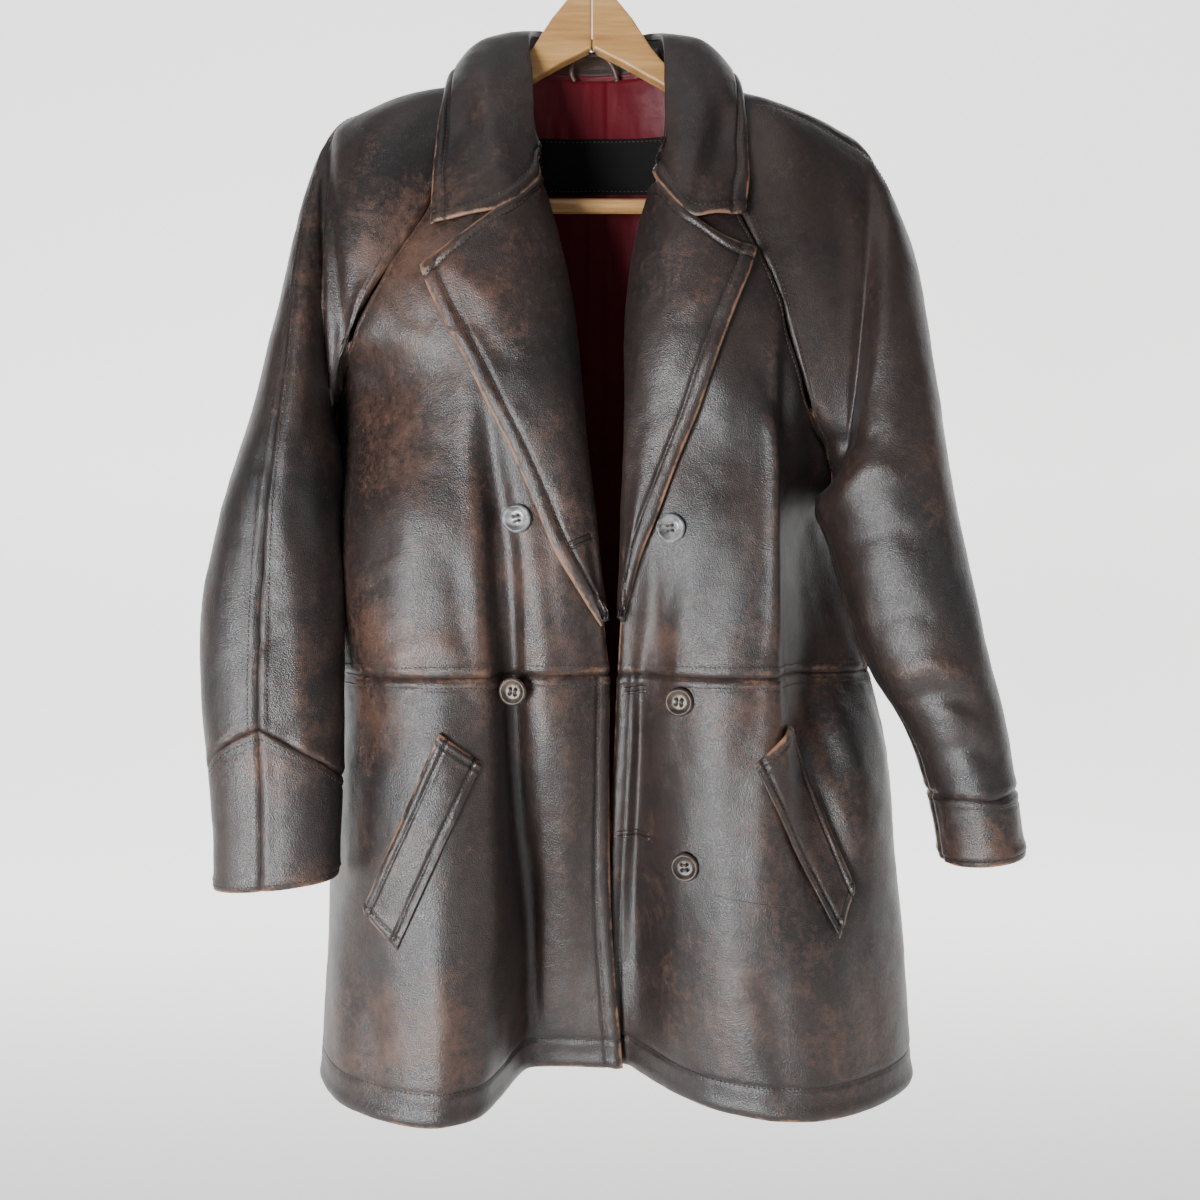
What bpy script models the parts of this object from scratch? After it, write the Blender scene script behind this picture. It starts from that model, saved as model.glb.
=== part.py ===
"""A worn leather coat, double breasted with raglan sleeves, hanging on a wooden hanger.

The origin is inside the top of the hanger's hook, +Z is up and the coat's front faces -Y.
Right and left are the wearer's own, so the right side lies at -X. Lengths here are in
millimetres, and MM turns them into metres.
"""

import math

import bpy
import numpy as np
from mathutils.bvhtree import BVHTree

for old in list(bpy.data.objects):
    bpy.data.objects.remove(old)

MM = 0.001

# Driving dimensions
LEATHER = 2.0
FACING = 1.5
SATIN = 1.0
SEAM_GAP = 0.4
SLEEVE_CLEARANCE = 7.0
RAGLAN_INSET = 0.7
WAIST_Z = -667.0
HEM_Z = -1020.0
BUTTON_RADIUS = 11.5
BUTTON_HEIGHT = 4.0
WOOD_THICKNESS = 12.0
BAR_RADIUS = 6.5
BAR_Z = -253.0
HOOK_WIRE_RADIUS = 1.75
HOOK_INNER_RADIUS = 17.0

# Counts of faces along each kind of panel
ACROSS_FRONT = 18
ACROSS_BACK = 14
RAGLAN_ROWS = 9
CHEST_ROWS = 6
SKIRT_ROWS = 8
ALONG_SLEEVE = 20
ALONG_CUFF = 2

COLOURS = {
    "leather": ((0.075, 0.045, 0.036), 0.42),
    "worn_leather": ((0.20, 0.085, 0.045), 0.5),
    "satin": ((0.20, 0.012, 0.022), 0.35),
    "label": ((0.014, 0.015, 0.016), 0.7),
    "horn": ((0.16, 0.12, 0.09), 0.25),
    "wood": ((0.72, 0.47, 0.23), 0.4),
    "steel": ((0.7, 0.7, 0.72), 0.25),
}


def spline(points, at):
    """Points of a smooth curve through the given ones. `at` counts along them from 0."""
    points = np.asarray(points, float)
    at = np.clip(np.atleast_1d(np.asarray(at, float)), 0, len(points) - 1)
    start = np.minimum(at.astype(int), len(points) - 2)
    part = (at - start).reshape((-1,) + (1,) * (points.ndim - 1))
    before = points[np.maximum(start - 1, 0)]
    here, after = points[start], points[start + 1]
    beyond = points[np.minimum(start + 2, len(points) - 1)]
    leave, arrive = (after - before) / 2, (beyond - here) / 2
    return (
        here * (2 * part**3 - 3 * part**2 + 1)
        + leave * (part**3 - 2 * part**2 + part)
        + after * (3 * part**2 - 2 * part**3)
        + arrive * (part**3 - part**2)
    )


def steps(first, last, count):
    return np.linspace(first, last, count + 1)


def lerp(a, b, share):
    share = np.asarray(share, float)[:, None]
    return np.asarray(a, float) * (1 - share) + np.asarray(b, float) * share


# The body's outlines, from the neck down. Each raglan seam has its points first, and its
# last one is the armpit. The side seam follows.
RAGLAN_FRONT = {
    "right": [(-78, 4, -119), (-106, -45, -205), (-139, -67, -285), (-170, -74, -334), (-200, -60, -383),
              (-221, 0, -430)],
    "left": [(80, 4, -121), (101, -45, -205), (126, -68, -292), (153, -76, -350), (180, -58, -430),
             (208, 3, -485)],
}
RAGLAN_BACK = {
    "right": [(-78, 4, -119), (-108, 36, -195), (-140, 52, -275), (-172, 55, -334), (-201, 42, -388),
              (-221, 0, -430)],
    "left": [(80, 4, -121), (106, 36, -200), (134, 52, -285), (161, 55, -355), (187, 42, -432),
             (208, 3, -485)],
}
SIDE_SEAM = {
    "right": [(-226, 12, -530), (-230, 13, -600), (-232, 14, WAIST_Z), (-233, 14, -740), (-238, 13, -885),
              (-241, 8, HEM_Z)],
    "left": [(217, 16, -545), (236, 16, -605), (251, 15, WAIST_Z), (266, 14, -740), (277, 12, -885),
             (284, 10, HEM_Z)],
}
# The inner edge of each front: the neckline, the roll line of the lapel, the front edge
NECK_AND_ROLL = {
    "right": [(-72, -14, -130), (-62, -46, -190), (-42, -62, -258), (-23, -66, -330), (-14, -69, -392),
              (-10, -71, -446),
              (1, -68, -545), (9, -62, -603)],
    "left": [(74, -14, -131), (72, -44, -190), (45, -61, -280), (35, -66, -334), (31, -69, -410),
             (30, -71, -480),
             (28, -68, -548), (25, -60, -606)],
}
V_POINT = {"right": (14, -52, -636), "left": (22, -50, -637)}
NECK_BACK = [(-78, 4, -119), (-52, 24, -119), (0, 33, -121), (54, 24, -120), (80, 4, -121)]

# How the columns of a front are spread from its inner edge to its side
SPREAD = {
    "right": (0, 0.06, 0.13, 0.21, 0.29, 0.36, 0.42, 0.50, 0.62, 0.76, 0.88, 0.95, 1),
    "left": (0, 0.06, 0.13, 0.21, 0.30, 0.42, 0.56, 0.67, 0.74, 0.80, 0.87, 0.94, 1),
}
# How far each raglan row stands forward of a straight line between its two edges
CHEST_FULLNESS = {"right": (0, 10, 20, 22, 30, 52), "left": (0, 10, 20, 24, 36, 0)}
ARMPIT_LEFT = [(30, -71), (41, -77), (54, -82), (70, -86), (90, -88), (114, -90), (138, -91), (152, -88),
               (163, -67),
               (175, -47), (188, -30), (200, -14)]
# Cross sections of the fronts as (across, depth), from the inner edge to the side.
# The right one has its deep fold in the middle, the left one a hollow under the arm.
CHEST = {
    "right": (-530, [(0, -69), (-12, -75), (-26, -81), (-43, -84), (-58, -84), (-71, -79), (-82, -83),
                     (-98, -90), (-122, -93),
                     (-155, -88), (-186, -66), (-210, -29)]),
    "left": (-545, [(28, -68), (39, -76), (52, -81), (68, -86), (88, -90), (112, -92), (136, -93),
                    (152, -90), (161, -64),
                    (172, -34), (186, -14), (202, 1)]),
}
RIBS = {
    "right": (-600, [(8, -62), (-5, -69), (-20, -76), (-38, -80), (-54, -77), (-66, -70), (-77, -78),
                     (-94, -87), (-124, -91),
                     (-157, -86), (-190, -59), (-214, -23)]),
    "left": (-605, [(25, -60), (36, -64), (48, -66), (62, -74), (80, -85), (108, -91), (136, -93),
                    (152, -89), (163, -58),
                    (177, -27), (197, -10), (218, 3)]),
}
WAIST = {
    "right": (WAIST_Z, [(15, -43), (2, -53), (-18, -63), (-38, -68), (-55, -64), (-66, -57), (-75, -70),
                        (-91, -84), (-125, -90),
                        (-162, -82), (-192, -56), (-215, -20)]),
    "left": (WAIST_Z, [(22, -41), (32, -47), (43, -46), (55, -58), (70, -75), (98, -89), (130, -93),
                       (152, -87), (166, -54),
                       (184, -24), (210, -12), (236, 0)]),
}
HIP = {
    "right": (-740, [(15, -37), (2, -45), (-18, -54), (-39, -57), (-56, -49), (-67, -43), (-75, -62),
                     (-89, -81), (-126, -93),
                     (-166, -80), (-198, -48), (-220, -14)]),
    "left": (-740, [(19, -27), (32, -33), (42, -29), (52, -47), (67, -64), (92, -83), (127, -93),
                    (154, -87), (175, -52),
                    (196, -38), (226, -40), (256, -12)]),
}
SKIRT = {
    "right": (-885, [(17, -15), (5, -16), (-18, -17), (-40, -14), (-54, -10), (-62, -26), (-69, -57),
                     (-83, -85), (-122, -98),
                     (-171, -84), (-208, -54), (-229, -18)]),
    "left": (-885, [(12, -3), (25, -6), (38, -7), (47, -22), (58, -46), (76, -66), (112, -90), (152, -94),
                    (184, -85),
                    (209, -72), (239, -54), (268, -22)]),
}
HEM = {
    "right": (HEM_Z, [(27, -4), (8, -2), (-18, 0), (-42, 0), (-57, -5), (-67, -28), (-76, -61),
                      (-92, -94), (-130, -108),
                      (-178, -90), (-213, -60), (-235, -24)]),
    "left": (HEM_Z, [(13, 6), (31, 4), (43, -12), (58, -34), (76, -56), (100, -77), (132, -94),
                     (161, -99), (191, -95),
                     (218, -83), (247, -64), (276, -28)]),
}
SECTIONS = (CHEST, RIBS, WAIST, HIP, SKIRT, HEM)
ARMPIT_ROW = 5
WAIST_ROW = 8
HEM_ROW = 11


def outer_edge(side, face):
    """The raglan seam and the side seam as one list of points."""
    raglan = RAGLAN_FRONT[side] if face == "front" else RAGLAN_BACK[side]
    return np.array(raglan + SIDE_SEAM[side], float)


def front_net(side):
    """The control rows of one front, from the neck to the hem."""
    outer = outer_edge(side, "front")
    spread = np.array(SPREAD[side])
    rows = []
    for row, inner in enumerate(NECK_AND_ROLL[side][: ARMPIT_ROW + 1]):
        line = lerp(inner, outer[row], spread)
        line[:, 1] -= CHEST_FULLNESS[side][row] * np.sin(math.pi * spread) ** 0.7
        rows.append(line)
    if side == "left":
        inner_z, outer_z = NECK_AND_ROLL[side][ARMPIT_ROW][2], outer[ARMPIT_ROW][2]
        for column, (x, y) in enumerate(ARMPIT_LEFT):
            z = inner_z + (outer_z - inner_z) * spread[column]
            rows[ARMPIT_ROW][column] = (x, y, z)
    for row, section in enumerate(SECTIONS, start=ARMPIT_ROW + 1):
        z, profile = section[side]
        line = [(x, y, z) for x, y in profile] + [outer[row]]
        rows.append(np.array(line, float))
    return np.array(rows)


# Soft waves of the back as (distance across from the middle, width, height at the hem)
BACK_WAVES = ((-150, 34, 9), (-62, 30, -8), (20, 26, 7), (104, 34, -9), (196, 30, 8))
BACK_DEPTH = (33, 46, 56, 60, 61, 60, 60, 60, 58, 58, 62, 64)


def back_net():
    """The control rows of the back, from the right side to the left."""
    right, left = outer_edge("right", "back"), outer_edge("left", "back")
    share = steps(0, 1, 16)
    rows = [spline(NECK_BACK, share * (len(NECK_BACK) - 1))]
    for row in range(1, HEM_ROW + 1):
        line = lerp(right[row], left[row], share)
        ends = line[:, 1].copy()
        round_off = np.sin(math.pi * share) ** 0.42
        line[:, 1] = ends + (BACK_DEPTH[row] - ends) * round_off
        fall = max(0.0, (row - ARMPIT_ROW) / (HEM_ROW - ARMPIT_ROW))
        for middle, width, height in BACK_WAVES:
            bump = np.exp(-(((line[:, 0] - middle) / width) ** 2))
            line[:, 1] -= height * fall * bump * round_off
        rows.append(line)
    return np.array(rows)


def net_points(net, across, rows):
    """Points of a control net at the given columns (0 to 1) and rows (counted from 0)."""
    down = spline(net, rows)
    columns = np.asarray(across) * (net.shape[1] - 1)
    return np.array([spline(row, columns) for row in down])


def seam_curve(points, rows):
    """The raglan seam, then the side seam: two curves that meet at the armpit."""
    raglan = spline(points[: ARMPIT_ROW + 1], np.minimum(rows, ARMPIT_ROW))
    below = spline(points[ARMPIT_ROW:], np.maximum(rows, ARMPIT_ROW) - ARMPIT_ROW)
    return np.where((np.asarray(rows) <= ARMPIT_ROW)[:, None], raglan, below)


def body_panel(net, across, rows, seams):
    """A body panel; `seams` gives the side and face of each column that is a seam."""
    grid = net_points(net, across, rows)
    for column, side, face in seams:
        grid[:, column] = seam_curve(outer_edge(side, face), rows)
    return grid


# Sleeve rings as (outer x, z), (inner x, z), depth of the middle, fullness in front and behind.
# They run from the shoulder to the cuff's edge; the raglan seams are the ring before them.
SLEEVE_RINGS = {
    "right": [
        ((-150, -157), (-223, -437), 0, 74, 57),
        ((-212, -180), (-225, -446), 0, 64, 56),
        ((-226, -188), (-224, -453), 0, 54, 55),
        ((-236, -210), (-222, -460), -3, 56, 54),
        ((-250, -258), (-219, -468), -8, 60, 54),
        ((-266, -340), (-214, -486), -14, 62, 54),
        ((-286, -430), (-213, -532), -25, 62, 52),
        ((-310, -518), (-211, -588), -34, 55, 48),
        ((-327, -606), (-210, -641), -43, 49, 45),
        ((-325, -690), (-209, -701), -51, 43, 41),
        ((-316, -772), (-209, -768), -59, 36, 36),
        ((-312, -841), (-210, -832), -64, 33, 33),
    ],
    "left": [
        ((154, -163), (212, -490), 0, 74, 57),
        ((214, -190), (215, -496), -2, 68, 56),
        ((236, -207), (215, -501), -6, 60, 54),
        ((247, -228), (211, -506), -11, 64, 54),
        ((261, -264), (205, -511), -18, 68, 54),
        ((281, -335), (195, -517), -24, 68, 54),
        ((292, -425), (192, -532), -35, 64, 50),
        ((302, -515), (206, -568), -42, 58, 46),
        ((322, -611), (228, -650), -48, 52, 44),
        ((343, -703), (260, -703), -53, 47, 42),
        ((350, -753), (281, -755), -56, 44, 41),
        ((358, -810), (294, -821), -58, 42, 40),
    ],
}
# How far the hidden side of each ring under the arm is spread away from the body
SPREAD_BEHIND = {"right": (0, 3, 6, 8, 8, 8, 4, 0, 0, 0, 0, 0),
                 "left": (4, 8, 13, 18, 23, 27, 24, 12, 4, 0, 0, 0)}
CUFF_EDGE = 12.0
# Where the overarm seam runs round the ring: 0 is outermost, 0.5 frontmost, 1 innermost
OVERARM = {
    "right": (0, 0, 0.06, 0.14, 0.24, 0.32, 0.39, 0.44, 0.48, 0.51, 0.50, 0.49, 0.48),
    "left": (0, 0, 0, 0, -0.02, -0.04, -0.05, -0.06, -0.06, -0.06, -0.06, -0.06, -0.06),
}
UNDERARM = {
    "right": (1, 1, 1, 1, 1.04, 1.1, 1.18, 1.26, 1.34, 1.4, 1.44, 1.46, 1.46),
    "left": (1, 1, 1, 1, 1, 1, 1, 1, 1, 1, 1, 1, 1),
}
# How far down the sleeve its cuff starts, at the overarm seam and half way round from it
CUFF_TOP = {"right": (10.15, 10.75), "left": (11.05, 11.15)}


def ring_point(side, ring, turn):
    """A point of a sleeve ring. `turn` 0 is outermost, 0.5 frontmost, 1 innermost, 1.5 rearmost."""
    turn = turn % 2
    if ring == 0:
        face = "front" if turn <= 1 else "back"
        along = turn if turn <= 1 else 2 - turn
        return spline(outer_edge(side, face)[: ARMPIT_ROW + 1], along * ARMPIT_ROW)[0]
    outer, inner, depth, front, behind = SLEEVE_RINGS[side][ring - 1]
    outer, inner = np.array(outer, float), np.array(inner, float)
    angle = math.pi * turn
    flat = (outer + inner) / 2 + (outer - inner) / 2 * math.cos(angle)
    swell = math.sin(angle)
    swell = math.copysign(abs(swell) ** 0.85, swell)
    if swell < 0:
        away = 1 if side == "left" else -1
        flat[0] += away * SPREAD_BEHIND[side][ring - 1] * math.sin(angle) ** 2
    return np.array([flat[0], depth - swell * (front if swell > 0 else behind), flat[1]])


def sleeve_point(side, turn, along):
    """A point of the sleeve: `along` counts rings from the raglan seam down."""
    rings = [ring_point(side, ring, turn) for ring in range(len(SLEEVE_RINGS[side]) + 1)]
    return spline(rings, along)[0]


def sleeve_turn(side, face, share, along):
    """Where round the ring a column of the front or back half of a sleeve runs."""
    over = spline(np.array(OVERARM[side])[:, None], along)[0, 0]
    under = spline(np.array(UNDERARM[side])[:, None], along)[0, 0]
    if face == "front":
        return over + (under - over) * share
    return over + 2 + (under - over - 2) * share


def cuff_start(side, turn):
    high, low = CUFF_TOP[side]
    over = OVERARM[side][-2]
    away = abs((turn - over + 1) % 2 - 1)
    return high + (low - high) * min(1.0, away * 2)


def sleeve_grid(side, face):
    """Rows from the raglan seam to the cuff, columns from the overarm seam to the underarm seam."""
    rows = []
    for down in steps(0, 1, ALONG_SLEEVE):
        row = []
        for share in steps(0, 1, RAGLAN_ROWS):
            last = cuff_start(side, sleeve_turn(side, face, share, CUFF_EDGE - 1.5))
            along = down**1.08 * last
            row.append(sleeve_point(side, sleeve_turn(side, face, share, along), along))
        rows.append(row)
    return np.array(rows)


def cuff_grid(side, face):
    rows = []
    for down in steps(0, 1, ALONG_CUFF):
        row = []
        for share in steps(0, 1, RAGLAN_ROWS):
            first = cuff_start(side, sleeve_turn(side, face, share, CUFF_EDGE - 1.5))
            along = first + (CUFF_EDGE - first) * down
            row.append(sleeve_point(side, sleeve_turn(side, face, share, along), along))
        rows.append(row)
    return np.array(rows)


def body_rows(first, last, count):
    return steps(first, last, count)


def upper_rows():
    raglan = steps(0, ARMPIT_ROW, RAGLAN_ROWS)
    return np.concatenate([raglan, steps(ARMPIT_ROW, WAIST_ROW, CHEST_ROWS)[1:]])


# Turning grids of points into walls


def grid_normals(grid):
    across = np.gradient(grid, axis=1)
    down = np.gradient(grid, axis=0)
    normal = np.cross(down, across)
    size = np.linalg.norm(normal, axis=2, keepdims=True)
    return normal / np.maximum(size, 1e-9)


def shared_normals(panels):
    """Normals of all panels, made the same where two panels share a seam."""
    normals = {name: grid_normals(grid) for name, grid in panels.items()}
    sums = {}
    for name, grid in panels.items():
        for index in np.ndindex(grid.shape[:2]):
            key = tuple(np.round(grid[index], 1))
            sums[key] = sums.get(key, 0) + normals[name][index]
    for name, grid in panels.items():
        for index in np.ndindex(grid.shape[:2]):
            total = sums[tuple(np.round(grid[index], 1))]
            size = np.linalg.norm(total)
            if size > 0.2:
                normals[name][index] = total / size
    return normals


def inset(grid, gap):
    """The grid with its borders drawn in, so that neighbours stay apart."""
    moved = grid.copy()
    for axis in (0, 1):
        near = np.moveaxis(moved, axis, 0)
        for edge, next_in in ((0, 1), (-1, -2)):
            step = near[next_in] - near[edge]
            size = np.maximum(np.linalg.norm(step, axis=1, keepdims=True), 1e-6)
            near[edge] = near[edge] + step / size * np.minimum(gap, size * 0.4)
    return moved


def cut_corners(grid, corners, gap):
    """Draw single corner points in, where several seams meet."""
    moved = grid.copy()
    for row, column in corners:
        inner = grid[row + (1 if row == 0 else -1 if row == -1 else 0), column + (1 if column == 0 else -1)]
        step = inner - grid[row, column]
        moved[row, column] += step / np.linalg.norm(step) * gap
    return moved


def add_mesh(name, points, faces, material):
    mesh = bpy.data.meshes.new(name)
    mesh.from_pydata([tuple(p * MM) for p in points], [], faces)
    mesh.update()
    mesh.shade_smooth()
    mesh.set_sharp_from_angle(angle=math.radians(50))
    shape = bpy.data.objects.new(name, mesh)
    bpy.context.scene.collection.objects.link(shape)
    shape.data.materials.append(material_named(material))
    return shape


def material_named(name):
    found = bpy.data.materials.get(name)
    if found:
        return found
    colour, roughness = COLOURS[name]
    made = bpy.data.materials.new(name)
    made.use_nodes = True
    shader = made.node_tree.nodes["Principled BSDF"]
    shader.inputs["Base Color"].default_value = (*colour, 1)
    shader.inputs["Roughness"].default_value = roughness
    shader.inputs["Metallic"].default_value = 1.0 if name == "steel" else 0.0
    return made


def wall(name, grid, normals, thickness, material):
    """A wall under a grid of points: the grid is its outer face, the other lies behind it."""
    height, width = grid.shape[:2]
    behind = grid - normals * thickness
    points = np.concatenate([grid.reshape(-1, 3), behind.reshape(-1, 3)])
    count = height * width

    def at(row, column, layer=0):
        return layer * count + row * width + column

    faces = []
    for row in range(height - 1):
        for column in range(width - 1):
            a, b = at(row, column), at(row, column + 1)
            c, d = at(row + 1, column + 1), at(row + 1, column)
            faces += [(a, b, c, d), (d + count, c + count, b + count, a + count)]
    border = [(at(row, column), at(row, column + 1), flip)
              for row, flip in ((0, True), (height - 1, False)) for column in range(width - 1)]
    border += [(at(row, column), at(row + 1, column), flip)
               for column, flip in ((0, False), (width - 1, True)) for row in range(height - 1)]
    for a, b, flip in border:
        # split from the higher point, so that neighbours along a seam are split alike
        if points[a][2] >= points[b][2]:
            halves = [(a, b, b + count), (a, b + count, a + count)]
        else:
            halves = [(a, b, a + count), (b, b + count, a + count)]
        faces += [half[::-1] if flip else half for half in halves]
    faces = [face[::-1] for face in faces]
    return add_mesh(name, points, faces, material)


def surface_tree(grids):
    """A search tree over the outer faces of some panels."""
    points, faces = [], []
    for grid in grids:
        base, width = len(points), grid.shape[1]
        points += [tuple(p) for p in grid.reshape(-1, 3)]
        for row in range(grid.shape[0] - 1):
            for column in range(width - 1):
                a = base + row * width + column
                faces.append((a, a + 1, a + 1 + width, a + width))
    return BVHTree.FromPolygons(points, faces)


def draped(tree, x, z, lift, fallback=-70.0):
    """The point in front of (x, z) on the panels, moved out towards the viewer."""
    hit, normal, _, _ = tree.ray_cast((x, -400.0, z), (0.0, 1.0, 0.0))
    if hit is None:
        return np.array([x, fallback - lift, z])
    return np.array([x, hit[1] - lift / max(abs(normal[1]), 0.5), z])


# The coat's panels


def coat_panels():
    panels = {}
    across = steps(0, 1, ACROSS_FRONT)
    skirt = body_rows(WAIST_ROW, HEM_ROW, SKIRT_ROWS)
    for side in ("right", "left"):
        net = front_net(side)
        seam = [(-1, side, "front")]
        upper = body_panel(net, across, upper_rows(), seam)
        lower = body_panel(net, across, skirt, seam)
        if side == "right":
            upper, lower = upper[:, ::-1], lower[:, ::-1]
        panels["front_upper_" + side] = upper
        panels["front_lower_" + side] = lower
        for face in ("front", "back"):
            sleeve, cuff = sleeve_grid(side, face), cuff_grid(side, face)
            if (side == "right") != (face == "front"):
                sleeve, cuff = sleeve[:, ::-1], cuff[:, ::-1]
            panels["sleeve_" + face + "_" + side] = sleeve
            panels["cuff_" + face + "_" + side] = cuff
    net = back_net()
    across = steps(1, 0, ACROSS_BACK)
    seam = [(0, "left", "back"), (-1, "right", "back")]
    panels["back_upper"] = body_panel(net, across, upper_rows(), seam)
    panels["back_lower"] = body_panel(net, across, skirt, seam)
    body = surface_tree([panels[name] for name in panels if name.startswith(("front", "back"))])
    for name in panels:
        if name.startswith("sleeve"):
            panels[name] = held_off(panels[name], body)
    return panels


def held_off(grid, body):
    """A sleeve's points, moved off the body where they would press into it under the arm."""
    moved = grid.copy()
    for row in range(1, grid.shape[0]):
        for column in range(grid.shape[1]):
            point = grid[row, column]
            need = min(SLEEVE_CLEARANCE, 1.1 * np.linalg.norm(point - grid[0, column]))
            hit, normal, _, distance = body.find_nearest(tuple(point))
            outward = -np.array(normal)
            height = float(np.dot(point - np.array(hit), outward))
            if distance < 45 and height < need:
                moved[row, column] = point + outward * (need - height)
    return moved


# Collar and lapels. They meet along the gorge seam, given as the places (x, z) where both
# lie between the roll line and the notch; beyond it each has its own free edge.
GORGE = {
    "right": [(-43, -256), (-59, -278), (-75, -290)],
    "left": [(55, -260), (69, -283), (81, -296)],
}
COLLAR_END = {"right": [(-100, -296), (-129, -301)], "left": [(101, -293), (125, -290)]}
LAPEL_TOP = {"right": [(-105, -313), (-137, -336)], "left": [(105, -313), (133, -321)]}
# Collar stations behind the gorge as (roll line point, outer edge point, height of its bow)
COLLAR_STATIONS = [
    ((-46, -61, -223), (-131, -74, -262), 8),
    ((-50, -52, -196), (-129, -60, -224), 11),
    ((-53, -32, -152), (-127, -46, -184), 14),
    ((-57, -8, -106), (-127, -8, -143), 13),
    ((-50, 22, -86), (-111, 24, -139), 12),
    ((-26, 38, -82), (-58, 59, -150), 10),
    ((2, 42, -81), (3, 65, -154), 10),
    ((30, 38, -82), (64, 59, -151), 10),
    ((56, 22, -88), (113, 24, -142), 12),
    ((64, -8, -108), (129, -8, -147), 13),
    ((65, -33, -160), (130, -46, -190), 14),
    ((62, -56, -212), (130, -64, -230), 11),
    ((58, -62, -236), (129, -76, -260), 8),
]
COLLAR_SPREAD = (0.12, 0.3, 0.5, 0.75, 1.0)
COLLAR_LIFT = 6.5
STAND_TOP = [(-50, 12, -104), (-44, 22, -97), (-25, 31, -92), (2, 34, -91), (30, 31, -92), (51, 22, -99),
             (58, 12, -107)]
STAND_BASE = [(-62, 13, -118), (-49, 22, -118.5), (-27, 29.5, -119.7), (1, 31.8, -120.5),
              (29, 29.5, -119.7), (54, 22, -118.8), (66, 13, -119)]
# Lapel rows below the gorge as (place along the roll line, outer edge x, z)
LAPEL_ROWS = {
    "right": [(2.45, -129, -357), (3.1, -114, -387), (3.75, -98, -416), (4.4, -82, -449), (5.0, -66, -480),
              (5.5, -48, -520), (6.0, -30, -563), (6.7, -12, -593), (7.4, 8, -627)],
    "left": [(2.25, 127, -340), (2.9, 118, -362), (3.5, 107, -390), (4.0, 96, -420), (4.6, 84, -456),
             (5.2, 69, -492), (5.8, 52, -538), (6.5, 39, -572), (7.3, 26, -624)],
}
GORGE_ROW = {"right": 1.8, "left": 1.68}
LAPEL_SPREAD = (0.10, 0.3, 0.52, 0.76, 1.0)
LAPEL_LIFT = (6.5, 9.0, 9.0, 8.0, 7.0)
ROLL_RADIUS = 3.4
ROLL_COLUMNS = (0, 1, 1.6, 2, 2.5, 3, 4, 5, 6, 7, 8)


def roll_curve(side):
    return np.array(NECK_AND_ROLL[side] + [V_POINT[side]], float)


def gorge_line(side, tree, free_edge):
    spots = GORGE[side] + free_edge
    return [draped(tree, x, z, lift) for (x, z), lift in zip(spots, LAPEL_LIFT)]


def lapel_grid(side, tree):
    """Rows down the lapel, columns from inside the front, round the roll line, to the outer edge."""
    inward = 1 if side == "right" else -1
    net = []
    for place, x, z in [(GORGE_ROW[side], None, None)] + LAPEL_ROWS[side]:
        roll = spline(roll_curve(side), place)[0]
        line = [roll + (-inward * 16, 11.0, 0), roll + (-inward * 3, 7.0, 0)]
        line += [roll + (inward * ROLL_RADIUS, 1.0, 0), roll + (inward * 1.6, -4.4, 0)]
        if x is None:
            for spot in line:
                spot[2] -= 3.5
            line += gorge_line(side, tree, LAPEL_TOP[side])
        else:
            for share, lift in zip(LAPEL_SPREAD, LAPEL_LIFT):
                line.append(draped(tree, roll[0] + (x - roll[0]) * share, roll[2] + (z - roll[2]) * share,
                                   lift))
        net.append(line)
    net = np.array(net)
    down = spline(net, steps(0, len(net) - 1, 18))
    grid = np.array([spline(row, ROLL_COLUMNS) for row in down])
    return grid if side == "left" else grid[:, ::-1]


def above(tree, point, lift):
    """The point, raised over the shoulder or drawn forward where the panels would touch it."""
    point = np.array(point, float)
    if point[1] < 34:
        hit, _, _, _ = tree.ray_cast((point[0], point[1], 0.0), (0.0, 0.0, -1.0))
        if hit is not None and abs(point[0]) < 150 and hit[2] > -175:
            point[2] = max(point[2], hit[2] + lift)
    if point[1] < 0:
        hit, _, _, _ = tree.ray_cast((point[0], -400.0, point[2]), (0.0, 1.0, 0.0))
        if hit is not None:
            point[1] = min(point[1], hit[1] - lift)
    return point


def collar_end(side, tree):
    inward = 1 if side == "right" else -1
    roll = spline(roll_curve(side), GORGE_ROW[side])[0]
    line = [roll + (inward * ROLL_RADIUS, 1.0, 8), roll + (inward * 1.6, -4.4, 5.0)]
    return line + gorge_line(side, tree, COLLAR_END[side])


def collar_grid(tree):
    rows = [collar_end("right", tree)]
    for roll, edge, bow in COLLAR_STATIONS:
        roll, edge = np.array(roll, float), np.array(edge, float)
        inner = roll + (roll - edge) * (0.03, -0.02, 0) + (0, 0, -4.5)
        out = np.array([edge[0] - roll[0], edge[1] - roll[1], 0])
        out = out / np.linalg.norm(out) + (0, 0, 0.8)
        line = [inner, roll + (0, 0, 0.8)]
        for share in COLLAR_SPREAD:
            spot = roll * (1 - share) + edge * share + out * bow * math.sin(math.pi * share**0.8)
            line.append(above(tree, spot, COLLAR_LIFT))
        rows.append(line)
    rows.append(collar_end("left", tree))
    net = np.array(rows)
    return net_points(net, np.array((0, 1, 2, 3, 4, 5, 6)) / 6, steps(0, len(net) - 1, 35))


def stand_grid():
    base, top = np.array(STAND_BASE, float), np.array(STAND_TOP, float)
    along = steps(0, len(base) - 1, 16)
    low, high = spline(base, along), spline(top, along)
    return np.array([high, (low + high) / 2, low])


# Slanted welt pockets as corners (x, z): top, top inner, bottom inner, bottom outer
POCKET_CORNERS = {
    "right": [(-121, -711), (-88, -736), (-156, -884), (-187, -857)],
    "left": [(165, -706), (131, -736), (203, -879), (219, -843)],
}
# Height of each welt over its front at its long free edge and at its sewn edge
POCKET_LIFT = {"right": (4.9, 2.8), "left": (6.0, 4.8)}
POCKET_THICKNESS = 2.2


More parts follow.
